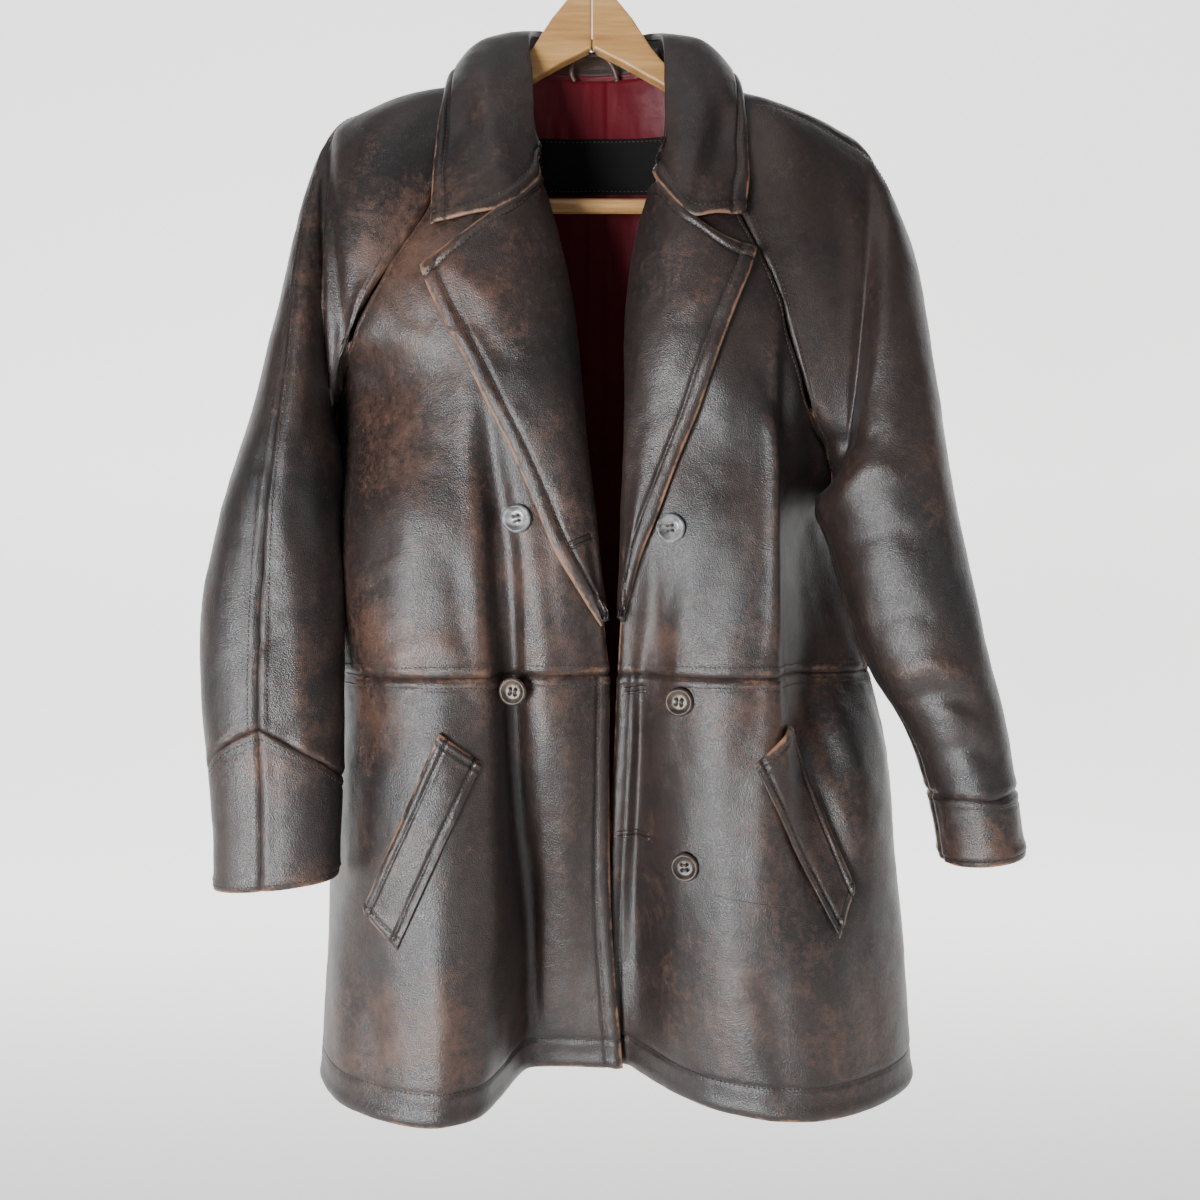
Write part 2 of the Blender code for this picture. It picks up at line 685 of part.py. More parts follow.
def pocket_grid(side, tree):
    top, top_inner, low_inner, low = [np.array(c, float) for c in POCKET_CORNERS[side]]
    free, sewn = POCKET_LIFT[side]
    rows = []
    for down in steps(0, 1, 14):
        outer_spot = top * (1 - down) + low * down
        inner_spot = top_inner * (1 - down) + low_inner * down
        row = []
        for share in steps(0, 1, 5):
            spot = outer_spot * (1 - share) + inner_spot * share
            row.append(draped(tree, spot[0], spot[1], free + (sewn - free) * share))
        rows.append(row)
    grid = np.array(rows)
    return grid if side == "right" else grid[:, ::-1]


# Buttons as (name, x, z)
BUTTONS = (
    ("button_right_chest", -60, -538),
    ("button_right_waist", -64, -679),
    ("button_left_chest", 64, -546),
    ("button_left_waist", 72, -687),
    ("button_left_skirt", 77, -823),
)
BUTTON_PROFILE = ((0, 0.55), (0.42, 0.50), (0.62, 0.62), (0.8, 0.98), (0.9, 1.0), (1.0, 0.72),
                  (1.0, 0.35), (0.72, 0.0), (0, 0.0))


def add_button(name, x, z, tree):
    """A turned button with a raised rim, tilted with the leather that carries it."""
    hit, normal, _, _ = tree.ray_cast((x, -400.0, z), (0.0, 1.0, 0.0))
    normal = -normal if normal[1] > 0 else normal
    out = np.array(normal, float) * (0.35, 1, 0.35)
    out /= np.linalg.norm(out)
    right = np.cross(out, (0, 0, 1.0))
    right /= np.linalg.norm(right)
    up = np.cross(right, out)
    seat = np.array(hit, float) + out * 0.8
    sides = 20
    sunk = 0.0
    for radius, height in ((0.3, 0), (0.74, 0), (1, 0.3)):
        for turn in range(sides):
            angle = 2 * math.pi * turn / sides
            rim = seat + (right * math.cos(angle) + up * math.sin(angle)) * radius * BUTTON_RADIUS
            rim += out * height * BUTTON_HEIGHT
            below, _, _, _ = tree.ray_cast((rim[0], -400.0, rim[2]), (0.0, 1.0, 0.0))
            sunk = max(sunk, rim[1] - below[1] + 0.7)
    seat[1] -= sunk
    points, faces = [], []
    for radius, height in BUTTON_PROFILE:
        for turn in range(sides if radius else 1):
            angle = 2 * math.pi * turn / sides
            offset = (right * math.cos(angle) + up * math.sin(angle)) * radius * BUTTON_RADIUS
            points.append(seat + offset + out * height * BUTTON_HEIGHT)
    last = len(points) - 1
    for turn in range(sides):
        after = (turn + 1) % sides
        faces.append((0, 1 + turn, 1 + after))
        for ring in range(len(BUTTON_PROFILE) - 3):
            a, b = 1 + ring * sides + turn, 1 + ring * sides + after
            faces.append((a, a + sides, b + sides, b))
        foot = 1 + (len(BUTTON_PROFILE) - 3) * sides
        faces.append((last, foot + after, foot + turn))
    faces = [face[::-1] for face in faces]
    add_mesh(name, points, faces, "horn")


# Facings turned back behind the front edges, below the lapels
FACING_COLUMNS = 4
FACING_BEHIND = LEATHER + 0.5


def facing_grid(side, panel, normal):
    """The panel's own points next to its front edge, moved in behind its wall."""
    near = slice(-FACING_COLUMNS, None) if side == "right" else slice(0, FACING_COLUMNS)
    return (panel - normal * FACING_BEHIND)[:, near]


LINING_BEHIND = 5.0
LINING_ROWS = (0.12, 10.6)


def lining_grid():
    """The satin back lining, a little inside the back panels, with its middle pleat."""
    net = back_net()
    grid = net_points(net, steps(0.93, 0.07, 14), steps(*LINING_ROWS, 16))
    normal = grid_normals(grid)
    grid = grid - normal * LINING_BEHIND
    pleat = np.exp(-(((grid[:, :, 0] - 6) / 12) ** 2))
    grid[:, :, 1] -= 5.0 * pleat * np.linspace(0.2, 1, len(grid))[:, None]
    return grid


LABEL_BOX = (-50, 66, -226, -178)
LABEL_LIFT = 3.0


def label_grid(tree):
    left, right, low, high = LABEL_BOX
    return np.array([
        [draped(tree, x, z, LABEL_LIFT) for x in steps(left, right, 10)] for z in steps(high, low, 4)
    ])


def add_tube(name, route, radius, material, sides=2):
    """A round bar or cord along a smooth route."""
    curve = bpy.data.curves.new(name, "CURVE")
    curve.dimensions = "3D"
    curve.bevel_depth = radius * MM
    curve.bevel_resolution = sides
    curve.use_fill_caps = True
    line = curve.splines.new("POLY")
    line.points.add(len(route) - 1)
    for point, spot in zip(line.points, route):
        point.co = (*(np.asarray(spot) * MM), 1)
    shape = bpy.data.objects.new(name, curve)
    bpy.context.scene.collection.objects.link(shape)
    curve.materials.append(material_named(material))
    return shape


# The hanger: two arms that meet in the middle, a bar, a hook and its washer
ARM_TOP = ((0.3, -62), (10, -64), (22, -71), (36, -88), (52, -113), (62, -125), (72, -135), (82, -142))
ARM_BOTTOM = ((0.3, -114), (28, -128), (60, -146), (110, -176), (160, -210), (188, -236), (196.2, -245),
              (196.2, -261))
SHOULDER_REST = 0.6


def shoulder_underside(tree, x):
    """How high a flat arm may reach at x before it touches the coat's shoulder."""
    lowest = None
    for y in (-6.2, -4, -2, 0, 2, 4, 6.2):
        hit, normal, _, _ = tree.ray_cast((x, y, 0.0), (0.0, 0.0, -1.0))
        if hit is not None and hit[2] > -260:
            z = hit[2] - LEATHER / max(abs(normal[2]), 0.3) - SHOULDER_REST
            lowest = z if lowest is None else min(lowest, z)
    return lowest


def hanger_arm(side, name, tree):
    """One flat wooden arm, its top following the inside of the coat's shoulder."""
    sign = -1 if side == "right" else 1
    last = 208 if side == "right" else 212
    ridge = []
    for x in list(range(90, last - 4, 8)) + [last]:
        near = [shoulder_underside(tree, sign * spot) for spot in (x - 4, x, x + 4)]
        ridge.append((x, min(near)))
    drop = [(last + 6, ridge[-1][1] - 12), (last + 7, ridge[-1][1] - 30), (last + 6, -252), (last + 1, -263)]
    outline = list(ARM_TOP) + ridge + drop + list(ARM_BOTTOM)[::-1]
    half = WOOD_THICKNESS / 2
    points = [np.array((sign * x, -half, z)) for x, z in outline]
    points += [np.array((sign * x, half, z)) for x, z in outline]
    count = len(outline)
    front = tuple(range(count))
    back = tuple(range(2 * count - 1, count - 1, -1))
    sides = [((i + 1) % count, i, i + count, (i + 1) % count + count) for i in range(count)]
    faces = [front, back] + sides
    if sign > 0:
        faces = [face[::-1] for face in faces]
    shape = add_mesh(name, points, faces, "wood")
    bevel = shape.modifiers.new("rounded edges", "BEVEL")
    bevel.width = 2.0 * MM
    bevel.segments = 2
    bevel.limit_method = "ANGLE"
    bevel.angle_limit = math.radians(50)
    return shape


def hook_route():
    """The wire: up out of the wood, then round over the top and down to a short tip."""
    radius = HOOK_INNER_RADIUS + HOOK_WIRE_RADIUS
    middle = (0.0, -HOOK_INNER_RADIUS)
    stem = [(0, 0, z) for z in (-61.6, -54, -46)]
    turn_in = [(-4, 0, -41), (-11, 0, -34)]
    arc = []
    for angle in np.radians(np.arange(225, -31, -15)):
        arc.append((middle[0] + radius * math.cos(angle), 0, middle[1] + radius * math.sin(angle)))
    return stem + turn_in + arc[1:]


def add_washer():
    sides = 16
    profile = ((4.5, -60.9), (4.5, -59.4), (2.3, -59.4), (2.3, -60.9))
    points = []
    for turn in range(sides):
        angle = 2 * math.pi * turn / sides
        for radius, z in profile:
            points.append(np.array((radius * math.cos(angle), radius * math.sin(angle), z)))
    faces = []
    for turn in range(sides):
        after = (turn + 1) % sides
        for corner in range(4):
            step = (corner + 1) % 4
            faces.append((turn * 4 + corner, after * 4 + corner, after * 4 + step, turn * 4 + step))
    add_mesh("hanger_washer", points, faces, "steel")


LOOP_ROUTE = [(-16, 24.2, -129), (-19, 22.5, -122), (-17, 20, -114), (-9, 19, -109), (1, 19, -108),
              (10, 19, -109),
              (17, 20, -115), (21, 22.5, -122), (23, 24.2, -129)]


# The corners where the raglan seams end, as (row, column) of each panel
CORNERS = {
    "front_upper_right": ((0, 0), (RAGLAN_ROWS, 0)),
    "front_upper_left": ((0, -1), (RAGLAN_ROWS, -1)),
    "back_upper": ((0, 0), (0, -1), (RAGLAN_ROWS, 0), (RAGLAN_ROWS, -1)),
}


def build():
    panels = coat_panels()
    normals = shared_normals(panels)
    for name, grid in panels.items():
        drawn = inset(cut_corners(grid, CORNERS.get(name, ()), 1.6), SEAM_GAP / 2)
        if name.startswith("sleeve"):
            step = drawn[1] - drawn[0]
            drawn[0] += step / np.linalg.norm(step, axis=1, keepdims=True) * RAGLAN_INSET
        wall(name, drawn, normals[name], LEATHER, "leather")

    fronts = [panels["front_upper_" + side] for side in ("right", "left")]
    skirts = [panels["front_lower_" + side] for side in ("right", "left")]
    tree = surface_tree(fronts + skirts)
    upper = surface_tree([grid for name, grid in panels.items() if "upper" in name or "sleeve" in name])
    for side in ("right", "left"):
        grid = lapel_grid(side, tree)
        normal = grid_normals(grid)
        open_part = slice(5, None) if side == "left" else slice(None, -5)
        normal[0, open_part] = (0, -1, 0)
        wall("lapel_" + side, inset(grid, SEAM_GAP / 2), normal, LEATHER, "leather")
        name = "front_lower_" + side
        grid = facing_grid(side, inset(panels[name], 0.6), normals[name])
        wall("facing_" + side, grid, facing_grid(side, normals[name], normals[name] * 0), FACING,
             "worn_leather")
        grid = pocket_grid(side, tree)
        wall("pocket_welt_" + side, grid, grid_normals(grid), POCKET_THICKNESS, "leather")
    for name, x, z in BUTTONS:
        add_button(name, x, z, tree)

    grid = collar_grid(upper)
    normal = grid_normals(grid)
    normal[0, 1:] = normal[-1, 1:] = (0, -1, 0)
    wall("collar", inset(grid, SEAM_GAP / 2), normal, LEATHER, "leather")
    grid = stand_grid()
    wall("collar_stand", grid, grid_normals(grid), FACING, "leather")
    grid = lining_grid()
    wall("lining_back", grid, grid_normals(grid), SATIN, "satin")
    lining = surface_tree([grid])
    grid = label_grid(lining)
    wall("neck_label", grid, grid_normals(grid), SATIN, "label")
    add_tube("hanger_loop", spline(LOOP_ROUTE, steps(0, len(LOOP_ROUTE) - 1, 16)), 1.6, "leather")

    hanger_arm("right", "hanger_arm_right", upper)
    hanger_arm("left", "hanger_arm_left", upper)
    add_tube("hanger_bar", [(-195.8, 0, BAR_Z), (195.8, 0, BAR_Z)], BAR_RADIUS, "wood", 4)
    add_tube("hanger_hook", hook_route(), HOOK_WIRE_RADIUS, "steel")
    add_washer()


build()
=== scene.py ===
import math

import bmesh
import bpy
import numpy as np
from mathutils.bvhtree import BVHTree
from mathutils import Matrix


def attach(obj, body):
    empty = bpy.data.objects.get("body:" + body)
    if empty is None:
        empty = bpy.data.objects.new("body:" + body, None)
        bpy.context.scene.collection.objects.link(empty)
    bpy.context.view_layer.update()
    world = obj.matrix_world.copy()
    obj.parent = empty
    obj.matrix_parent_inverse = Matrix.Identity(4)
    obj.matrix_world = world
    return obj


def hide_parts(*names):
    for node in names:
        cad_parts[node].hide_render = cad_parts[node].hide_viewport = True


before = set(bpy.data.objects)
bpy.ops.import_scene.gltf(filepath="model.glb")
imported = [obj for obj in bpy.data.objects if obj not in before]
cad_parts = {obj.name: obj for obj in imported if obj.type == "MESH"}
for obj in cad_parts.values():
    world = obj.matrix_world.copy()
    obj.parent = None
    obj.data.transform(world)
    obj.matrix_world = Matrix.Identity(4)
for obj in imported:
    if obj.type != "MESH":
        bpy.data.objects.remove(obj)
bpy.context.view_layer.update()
mm = 0.001
scene = bpy.context.scene
sides = ("right", "left")

# The camera first: level, straight at the coat
view = {"place": (0.0071, -0.912, -0.604), "lens": 30.68, "sensor": 36.0}
camera = bpy.data.objects.new("camera", bpy.data.cameras.new("camera"))
camera.data.lens = view["lens"]
camera.data.sensor_width = view["sensor"]
camera.location = view["place"]
camera.rotation_euler = (math.pi / 2, 0, 0)
scene.collection.objects.link(camera)
scene.camera = camera


# Smooth curves, nets of points and a repeatable soft noise

def spline(points, at):
    points = np.asarray(points, float)
    at = np.clip(np.atleast_1d(np.asarray(at, float)), 0, len(points) - 1)
    start = np.minimum(at.astype(int), len(points) - 2)
    part = (at - start).reshape((-1,) + (1,) * (points.ndim - 1))
    before = points[np.maximum(start - 1, 0)]
    here, after = points[start], points[start + 1]
    beyond = points[np.minimum(start + 2, len(points) - 1)]
    return hermite(before, here, after, beyond, part)


def hermite(before, here, after, beyond, part):
    leave, arrive = (after - before) / 2, (beyond - here) / 2
    return (here * (2 * part**3 - 3 * part**2 + 1) + leave * (part**3 - 2 * part**2 + part)
            + after * (3 * part**2 - 2 * part**3) + arrive * (part**3 - part**2))


def steps(first, last, count):
    return np.linspace(first, last, count + 1)


def lerp(a, b, share):
    share = np.asarray(share, float)[:, None]
    return np.asarray(a, float) * (1 - share) + np.asarray(b, float) * share


def netPoints(net, across, rows):
    down = spline(net, rows)
    return np.moveaxis(spline(np.moveaxis(down, 1, 0), np.asarray(across) * (net.shape[1] - 1)), 0, 1)


def softNoise(points, size, seed):
    rng = np.random.RandomState(seed)
    lattice = rng.uniform(-1, 1, (32, 32, 32))
    q = np.asarray(points, float) / size + 100
    low = np.floor(q).astype(int)
    part = q - low
    part = part * part * (3 - 2 * part)
    total = 0
    for dx in (0, 1):
        for dy in (0, 1):
            for dz in (0, 1):
                weight = 1
                for axis, step in enumerate((dx, dy, dz)):
                    weight = weight * (part[..., axis] if step else 1 - part[..., axis])
                cell = [(low[..., axis] + step) % 32 for axis, step in enumerate((dx, dy, dz))]
                total = total + weight * lattice[cell[0], cell[1], cell[2]]
    return total


# The coat's shape: the same curves as its solids

leatherWall = 2.0
waistZ = -667.0
hemZ = -1020.0
raglanFront = {
    "right": [(-78, 4, -119), (-106, -45, -205), (-139, -67, -285), (-170, -74, -334), (-200, -60, -383),
              (-221, 0, -430)],
    "left": [(80, 4, -121), (101, -45, -205), (126, -68, -292), (153, -76, -350), (180, -58, -430),
             (208, 3, -485)],
}
raglanBack = {
    "right": [(-78, 4, -119), (-108, 36, -195), (-140, 52, -275), (-172, 55, -334), (-201, 42, -388),
              (-221, 0, -430)],
    "left": [(80, 4, -121), (106, 36, -200), (134, 52, -285), (161, 55, -355), (187, 42, -432),
             (208, 3, -485)],
}
sideSeam = {
    "right": [(-226, 12, -530), (-230, 13, -600), (-232, 14, waistZ), (-233, 14, -740), (-238, 13, -885),
              (-241, 8, hemZ)],
    "left": [(217, 16, -545), (236, 16, -605), (251, 15, waistZ), (266, 14, -740), (277, 12, -885),
             (284, 10, hemZ)],
}
neckAndRoll = {
    "right": [(-72, -14, -130), (-62, -46, -190), (-42, -62, -258), (-23, -66, -330), (-14, -69, -392),
              (-10, -71, -446), (1, -68, -545), (9, -62, -603)],
    "left": [(74, -14, -131), (72, -44, -190), (45, -61, -280), (35, -66, -334), (31, -69, -410),
             (30, -71, -480), (28, -68, -548), (25, -60, -606)],
}
vPoint = {"right": (14, -52, -636), "left": (22, -50, -637)}
neckBack = [(-78, 4, -119), (-52, 24, -119), (0, 33, -121), (54, 24, -120), (80, 4, -121)]
spread = {
    "right": (0, 0.06, 0.13, 0.21, 0.29, 0.36, 0.42, 0.50, 0.62, 0.76, 0.88, 0.95, 1),
    "left": (0, 0.06, 0.13, 0.21, 0.30, 0.42, 0.56, 0.67, 0.74, 0.80, 0.87, 0.94, 1),
}
chestFullness = {"right": (0, 10, 20, 22, 30, 52), "left": (0, 10, 20, 24, 36, 0)}
armpitLeft = [(30, -71), (41, -77), (54, -82), (70, -86), (90, -88), (114, -90), (138, -91), (152, -88),
               (163, -67), (175, -47), (188, -30), (200, -14)]
chest = {
    "right": (-530, [(0, -69), (-12, -75), (-26, -81), (-43, -84), (-58, -84), (-71, -79), (-82, -83),
                     (-98, -90), (-122, -93), (-155, -88), (-186, -66), (-210, -29)]),
    "left": (-545, [(28, -68), (39, -76), (52, -81), (68, -86), (88, -90), (112, -92), (136, -93),
                    (152, -90), (161, -64), (172, -34), (186, -14), (202, 1)]),
}
ribs = {
    "right": (-600, [(8, -62), (-5, -69), (-20, -76), (-38, -80), (-54, -77), (-66, -70), (-77, -78),
                     (-94, -87), (-124, -91), (-157, -86), (-190, -59), (-214, -23)]),
    "left": (-605, [(25, -60), (36, -64), (48, -66), (62, -74), (80, -85), (108, -91), (136, -93),
                    (152, -89), (163, -58), (177, -27), (197, -10), (218, 3)]),
}
waist = {
    "right": (waistZ, [(15, -43), (2, -53), (-18, -63), (-38, -68), (-55, -64), (-66, -57), (-75, -70),
                        (-91, -84), (-125, -90), (-162, -82), (-192, -56), (-215, -20)]),
    "left": (waistZ, [(22, -41), (32, -47), (43, -46), (55, -58), (70, -75), (98, -89), (130, -93),
                       (152, -87), (166, -54), (184, -24), (210, -12), (236, 0)]),
}
hip = {
    "right": (-740, [(15, -37), (2, -45), (-18, -54), (-39, -57), (-56, -49), (-67, -43), (-75, -62),
                     (-89, -81), (-126, -93), (-166, -80), (-198, -48), (-220, -14)]),
    "left": (-740, [(19, -27), (32, -33), (42, -29), (52, -47), (67, -64), (92, -83), (127, -93),
                    (154, -87), (175, -52), (196, -38), (226, -40), (256, -12)]),
}
skirt = {
    "right": (-885, [(17, -15), (5, -16), (-18, -17), (-40, -14), (-54, -10), (-62, -26), (-69, -57),
                     (-83, -85), (-122, -98), (-171, -84), (-208, -54), (-229, -18)]),
    "left": (-885, [(12, -3), (25, -6), (38, -7), (47, -22), (58, -46), (76, -66), (112, -90), (152, -94),
                    (184, -85), (209, -72), (239, -54), (268, -22)]),
}
hem = {
    "right": (hemZ, [(27, -4), (8, -2), (-18, 0), (-42, 0), (-57, -5), (-67, -28), (-76, -61), (-92, -94),
                      (-130, -108), (-178, -90), (-213, -60), (-235, -24)]),
    "left": (hemZ, [(13, 6), (31, 4), (43, -12), (58, -34), (76, -56), (100, -77), (132, -94), (161, -99),
                     (191, -95), (218, -83), (247, -64), (276, -28)]),
}
sections = (chest, ribs, waist, hip, skirt, hem)
armpitRow = 5
waistRow = 8
hemRow = 11
backWaves = ((-150, 34, 9), (-62, 30, -8), (20, 26, 7), (104, 34, -9), (196, 30, 8))
backDepth = (33, 46, 56, 60, 61, 60, 60, 60, 58, 58, 62, 64)


def outerEdge(side, face):
    raglan = raglanFront[side] if face == "front" else raglanBack[side]
    return np.array(raglan + sideSeam[side], float)


def frontNet(side):
    outer = outerEdge(side, "front")
    share = np.array(spread[side])
    rows = []
    for row, inner in enumerate(neckAndRoll[side][: armpitRow + 1]):
        line = lerp(inner, outer[row], share)
        line[:, 1] -= chestFullness[side][row] * np.sin(math.pi * share) ** 0.7
        rows.append(line)
    if side == "left":
        innerZ, outerZ = neckAndRoll[side][armpitRow][2], outer[armpitRow][2]
        for column, (x, y) in enumerate(armpitLeft):
            rows[armpitRow][column] = (x, y, innerZ + (outerZ - innerZ) * share[column])
    for row, section in enumerate(sections, start=armpitRow + 1):
        z, profile = section[side]
        rows.append(np.array([(x, y, z) for x, y in profile] + [outer[row]], float))
    return np.array(rows)


def backNet():
    right, left = outerEdge("right", "back"), outerEdge("left", "back")
    share = steps(0, 1, 16)
    rows = [spline(neckBack, share * (len(neckBack) - 1))]
    for row in range(1, hemRow + 1):
        line = lerp(right[row], left[row], share)
        ends = line[:, 1].copy()
        roundOff = np.sin(math.pi * share) ** 0.42
        line[:, 1] = ends + (backDepth[row] - ends) * roundOff
        fall = max(0.0, (row - armpitRow) / (hemRow - armpitRow))
        for middle, width, height in backWaves:
            line[:, 1] -= height * fall * np.exp(-(((line[:, 0] - middle) / width) ** 2)) * roundOff
        rows.append(line)
    return np.array(rows)


def seamCurve(points, rows):
    raglan = spline(points[: armpitRow + 1], np.minimum(rows, armpitRow))
    below = spline(points[armpitRow:], np.maximum(rows, armpitRow) - armpitRow)
    return np.where((np.asarray(rows) <= armpitRow)[:, None], raglan, below)


def bodyPanel(net, across, rows, seams):
    grid = netPoints(net, across, rows)
    for column, side, face in seams:
        grid[:, column] = seamCurve(outerEdge(side, face), rows)
    return grid


# Sleeves: rings as (outer x, z), (inner x, z), depth of the middle, fullness in front and behind

sleeveRings = {
    "right": [
        ((-150, -157), (-223, -437), 0, 74, 57),
        ((-212, -180), (-225, -446), 0, 64, 56),
        ((-226, -188), (-224, -453), 0, 54, 55),
        ((-236, -210), (-222, -460), -3, 56, 54),
        ((-250, -258), (-219, -468), -8, 60, 54),
        ((-266, -340), (-214, -486), -14, 62, 54),
        ((-286, -430), (-213, -532), -25, 62, 52),
        ((-310, -518), (-211, -588), -34, 55, 48),
        ((-327, -606), (-210, -641), -43, 49, 45),
        ((-325, -690), (-209, -701), -51, 43, 41),
        ((-316, -772), (-209, -768), -59, 36, 36),
        ((-312, -841), (-210, -832), -64, 33, 33),
    ],
    "left": [
        ((154, -163), (212, -490), 0, 74, 57),
        ((214, -190), (215, -496), -2, 68, 56),
        ((236, -207), (215, -501), -6, 60, 54),
        ((247, -228), (211, -506), -11, 64, 54),
        ((261, -264), (205, -511), -18, 68, 54),
        ((281, -335), (195, -517), -24, 68, 54),
        ((292, -425), (192, -532), -35, 64, 50),
        ((302, -515), (206, -568), -42, 58, 46),
        ((322, -611), (228, -650), -48, 52, 44),
        ((343, -703), (260, -703), -53, 47, 42),
        ((350, -753), (281, -755), -56, 44, 41),
        ((358, -810), (294, -821), -58, 42, 40),
    ],
}
spreadBehind = {"right": (0, 3, 6, 8, 8, 8, 4, 0, 0, 0, 0, 0),
                 "left": (4, 8, 13, 18, 23, 27, 24, 12, 4, 0, 0, 0)}
cuffEdge = 12.0
overarm = {
    "right": (0, 0, 0.06, 0.14, 0.24, 0.32, 0.39, 0.44, 0.48, 0.51, 0.50, 0.49, 0.48),
    "left": (0, 0, 0, 0, -0.02, -0.04, -0.05, -0.06, -0.06, -0.06, -0.06, -0.06, -0.06),
}
underarm = {
    "right": (1, 1, 1, 1, 1.04, 1.1, 1.18, 1.26, 1.34, 1.4, 1.44, 1.46, 1.46),
    "left": (1, 1, 1, 1, 1, 1, 1, 1, 1, 1, 1, 1, 1),
}
cuffTop = {"right": (10.15, 10.75), "left": (11.05, 11.15)}
sleeveClearance = 7.0


def ringPoints(side, ring, turn):
    turn = np.asarray(turn, float) % 2
    if ring == 0:
        front = spline(outerEdge(side, "front")[: armpitRow + 1], np.minimum(turn, 1) * armpitRow)
        back = spline(outerEdge(side, "back")[: armpitRow + 1], np.minimum(2 - turn, 1) * armpitRow)
        return np.where((turn <= 1)[:, None], front, back)
    outer, inner, depth, front, behind = sleeveRings[side][ring - 1]
    outer, inner = np.array(outer, float), np.array(inner, float)
    angle = math.pi * turn
    swell = np.sign(np.sin(angle)) * np.abs(np.sin(angle)) ** 0.85
    flat = (outer + inner) / 2 + (outer - inner) / 2 * np.cos(angle)[:, None]
    away = 1 if side == "left" else -1
    flat[:, 0] += np.where(swell < 0, away * spreadBehind[side][ring - 1] * np.sin(angle) ** 2, 0)
    return np.stack([flat[:, 0], depth - swell * np.where(swell > 0, front, behind), flat[:, 1]], axis=1)


def sleevePoints(side, turn, along):
    shape = np.shape(turn)
    turn, along = np.ravel(turn), np.ravel(along)
    rings = np.array([ringPoints(side, ring, turn) for ring in range(len(sleeveRings[side]) + 1)])
    along = np.clip(along, 0, len(rings) - 1)
    start = np.minimum(along.astype(int), len(rings) - 2)
    pick = np.arange(len(turn))
    found = hermite(rings[np.maximum(start - 1, 0), pick], rings[start, pick], rings[start + 1, pick],
                    rings[np.minimum(start + 2, len(rings) - 1), pick], (along - start)[:, None])
    return found.reshape(shape + (3,))


def sleeveTurn(side, face, share, along):
    shape = np.shape(along)
    over = spline(np.array(overarm[side])[:, None], np.ravel(along))[:, 0].reshape(shape)
    under = spline(np.array(underarm[side])[:, None], np.ravel(along))[:, 0].reshape(shape)
    if face == "front":
        return over + (under - over) * share
    return over + 2 + (under - over - 2) * share


def cuffStart(side, face, share):
    high, low = cuffTop[side]
    turn = sleeveTurn(side, face, share, np.full(np.shape(share), cuffEdge - 1.5))
    away = np.abs((turn - overarm[side][-2] + 1) % 2 - 1)
    return high + (low - high) * np.minimum(1.0, away * 2)


def sleeveGrid(side, face, rows, columns):
    share, down = np.meshgrid(steps(0, 1, columns), steps(0, 1, rows))
    along = down**1.08 * cuffStart(side, face, share)
    return sleevePoints(side, sleeveTurn(side, face, share, along), along)


def cuffGrid(side, face, rows, columns):
    share, down = np.meshgrid(steps(0, 1, columns), steps(0, 1, rows))
    first = cuffStart(side, face, share)
    along = first + (cuffEdge - first) * down
    return sleevePoints(side, sleeveTurn(side, face, share, along), along)


# Walls

def gridNormals(grid):
    normal = np.cross(np.gradient(grid, axis=0), np.gradient(grid, axis=1))
    return normal / np.maximum(np.linalg.norm(normal, axis=2, keepdims=True), 1e-9)


def surfaceTree(grids):
    points, faces = [], []
    for grid in grids:
        rows, columns = grid.shape[:2]
        first = len(points) + (np.arange(rows - 1)[:, None] * columns + np.arange(columns - 1)).ravel()
        points += grid.reshape(-1, 3).tolist()
        faces += np.stack([first, first + 1, first + 1 + columns, first + columns], axis=1).tolist()
    return BVHTree.FromPolygons(points, faces)


def edgeLengths(grid):
    across = np.linalg.norm(np.diff(grid, axis=1), axis=2)
    down = np.linalg.norm(np.diff(grid, axis=0), axis=2)
    left = np.concatenate([np.zeros((len(grid), 1)), np.cumsum(across, axis=1)], axis=1)
    top = np.concatenate([np.zeros((1, grid.shape[1])), np.cumsum(down, axis=0)], axis=0)
    return {"left": left, "right": left[:, -1:] - left, "top": top, "bottom": top[-1:] - top}


def putMesh(name, points, faces, material, layers=None, uv=None):
    mesh = bpy.data.meshes.new(name)
    mesh.from_pydata((np.asarray(points) * mm).tolist(), [], faces)
    mesh.shade_smooth()
    for layer, values in (layers or {}).items():
        mesh.attributes.new(layer, "FLOAT", "POINT").data.foreach_set("value",
                                                                      np.asarray(values, np.float32))
    if uv is not None:
        corners = np.empty(len(mesh.loops), np.int32)
        mesh.loops.foreach_get("vertex_index", corners)
        mesh.uv_layers.new(name="cloth").data.foreach_set("uv",
                                                          np.asarray(uv)[corners].astype(np.float32).ravel())
    mesh.materials.append(material)
    shape = bpy.data.objects.new(name, mesh)
    scene.collection.objects.link(shape)
    return shape


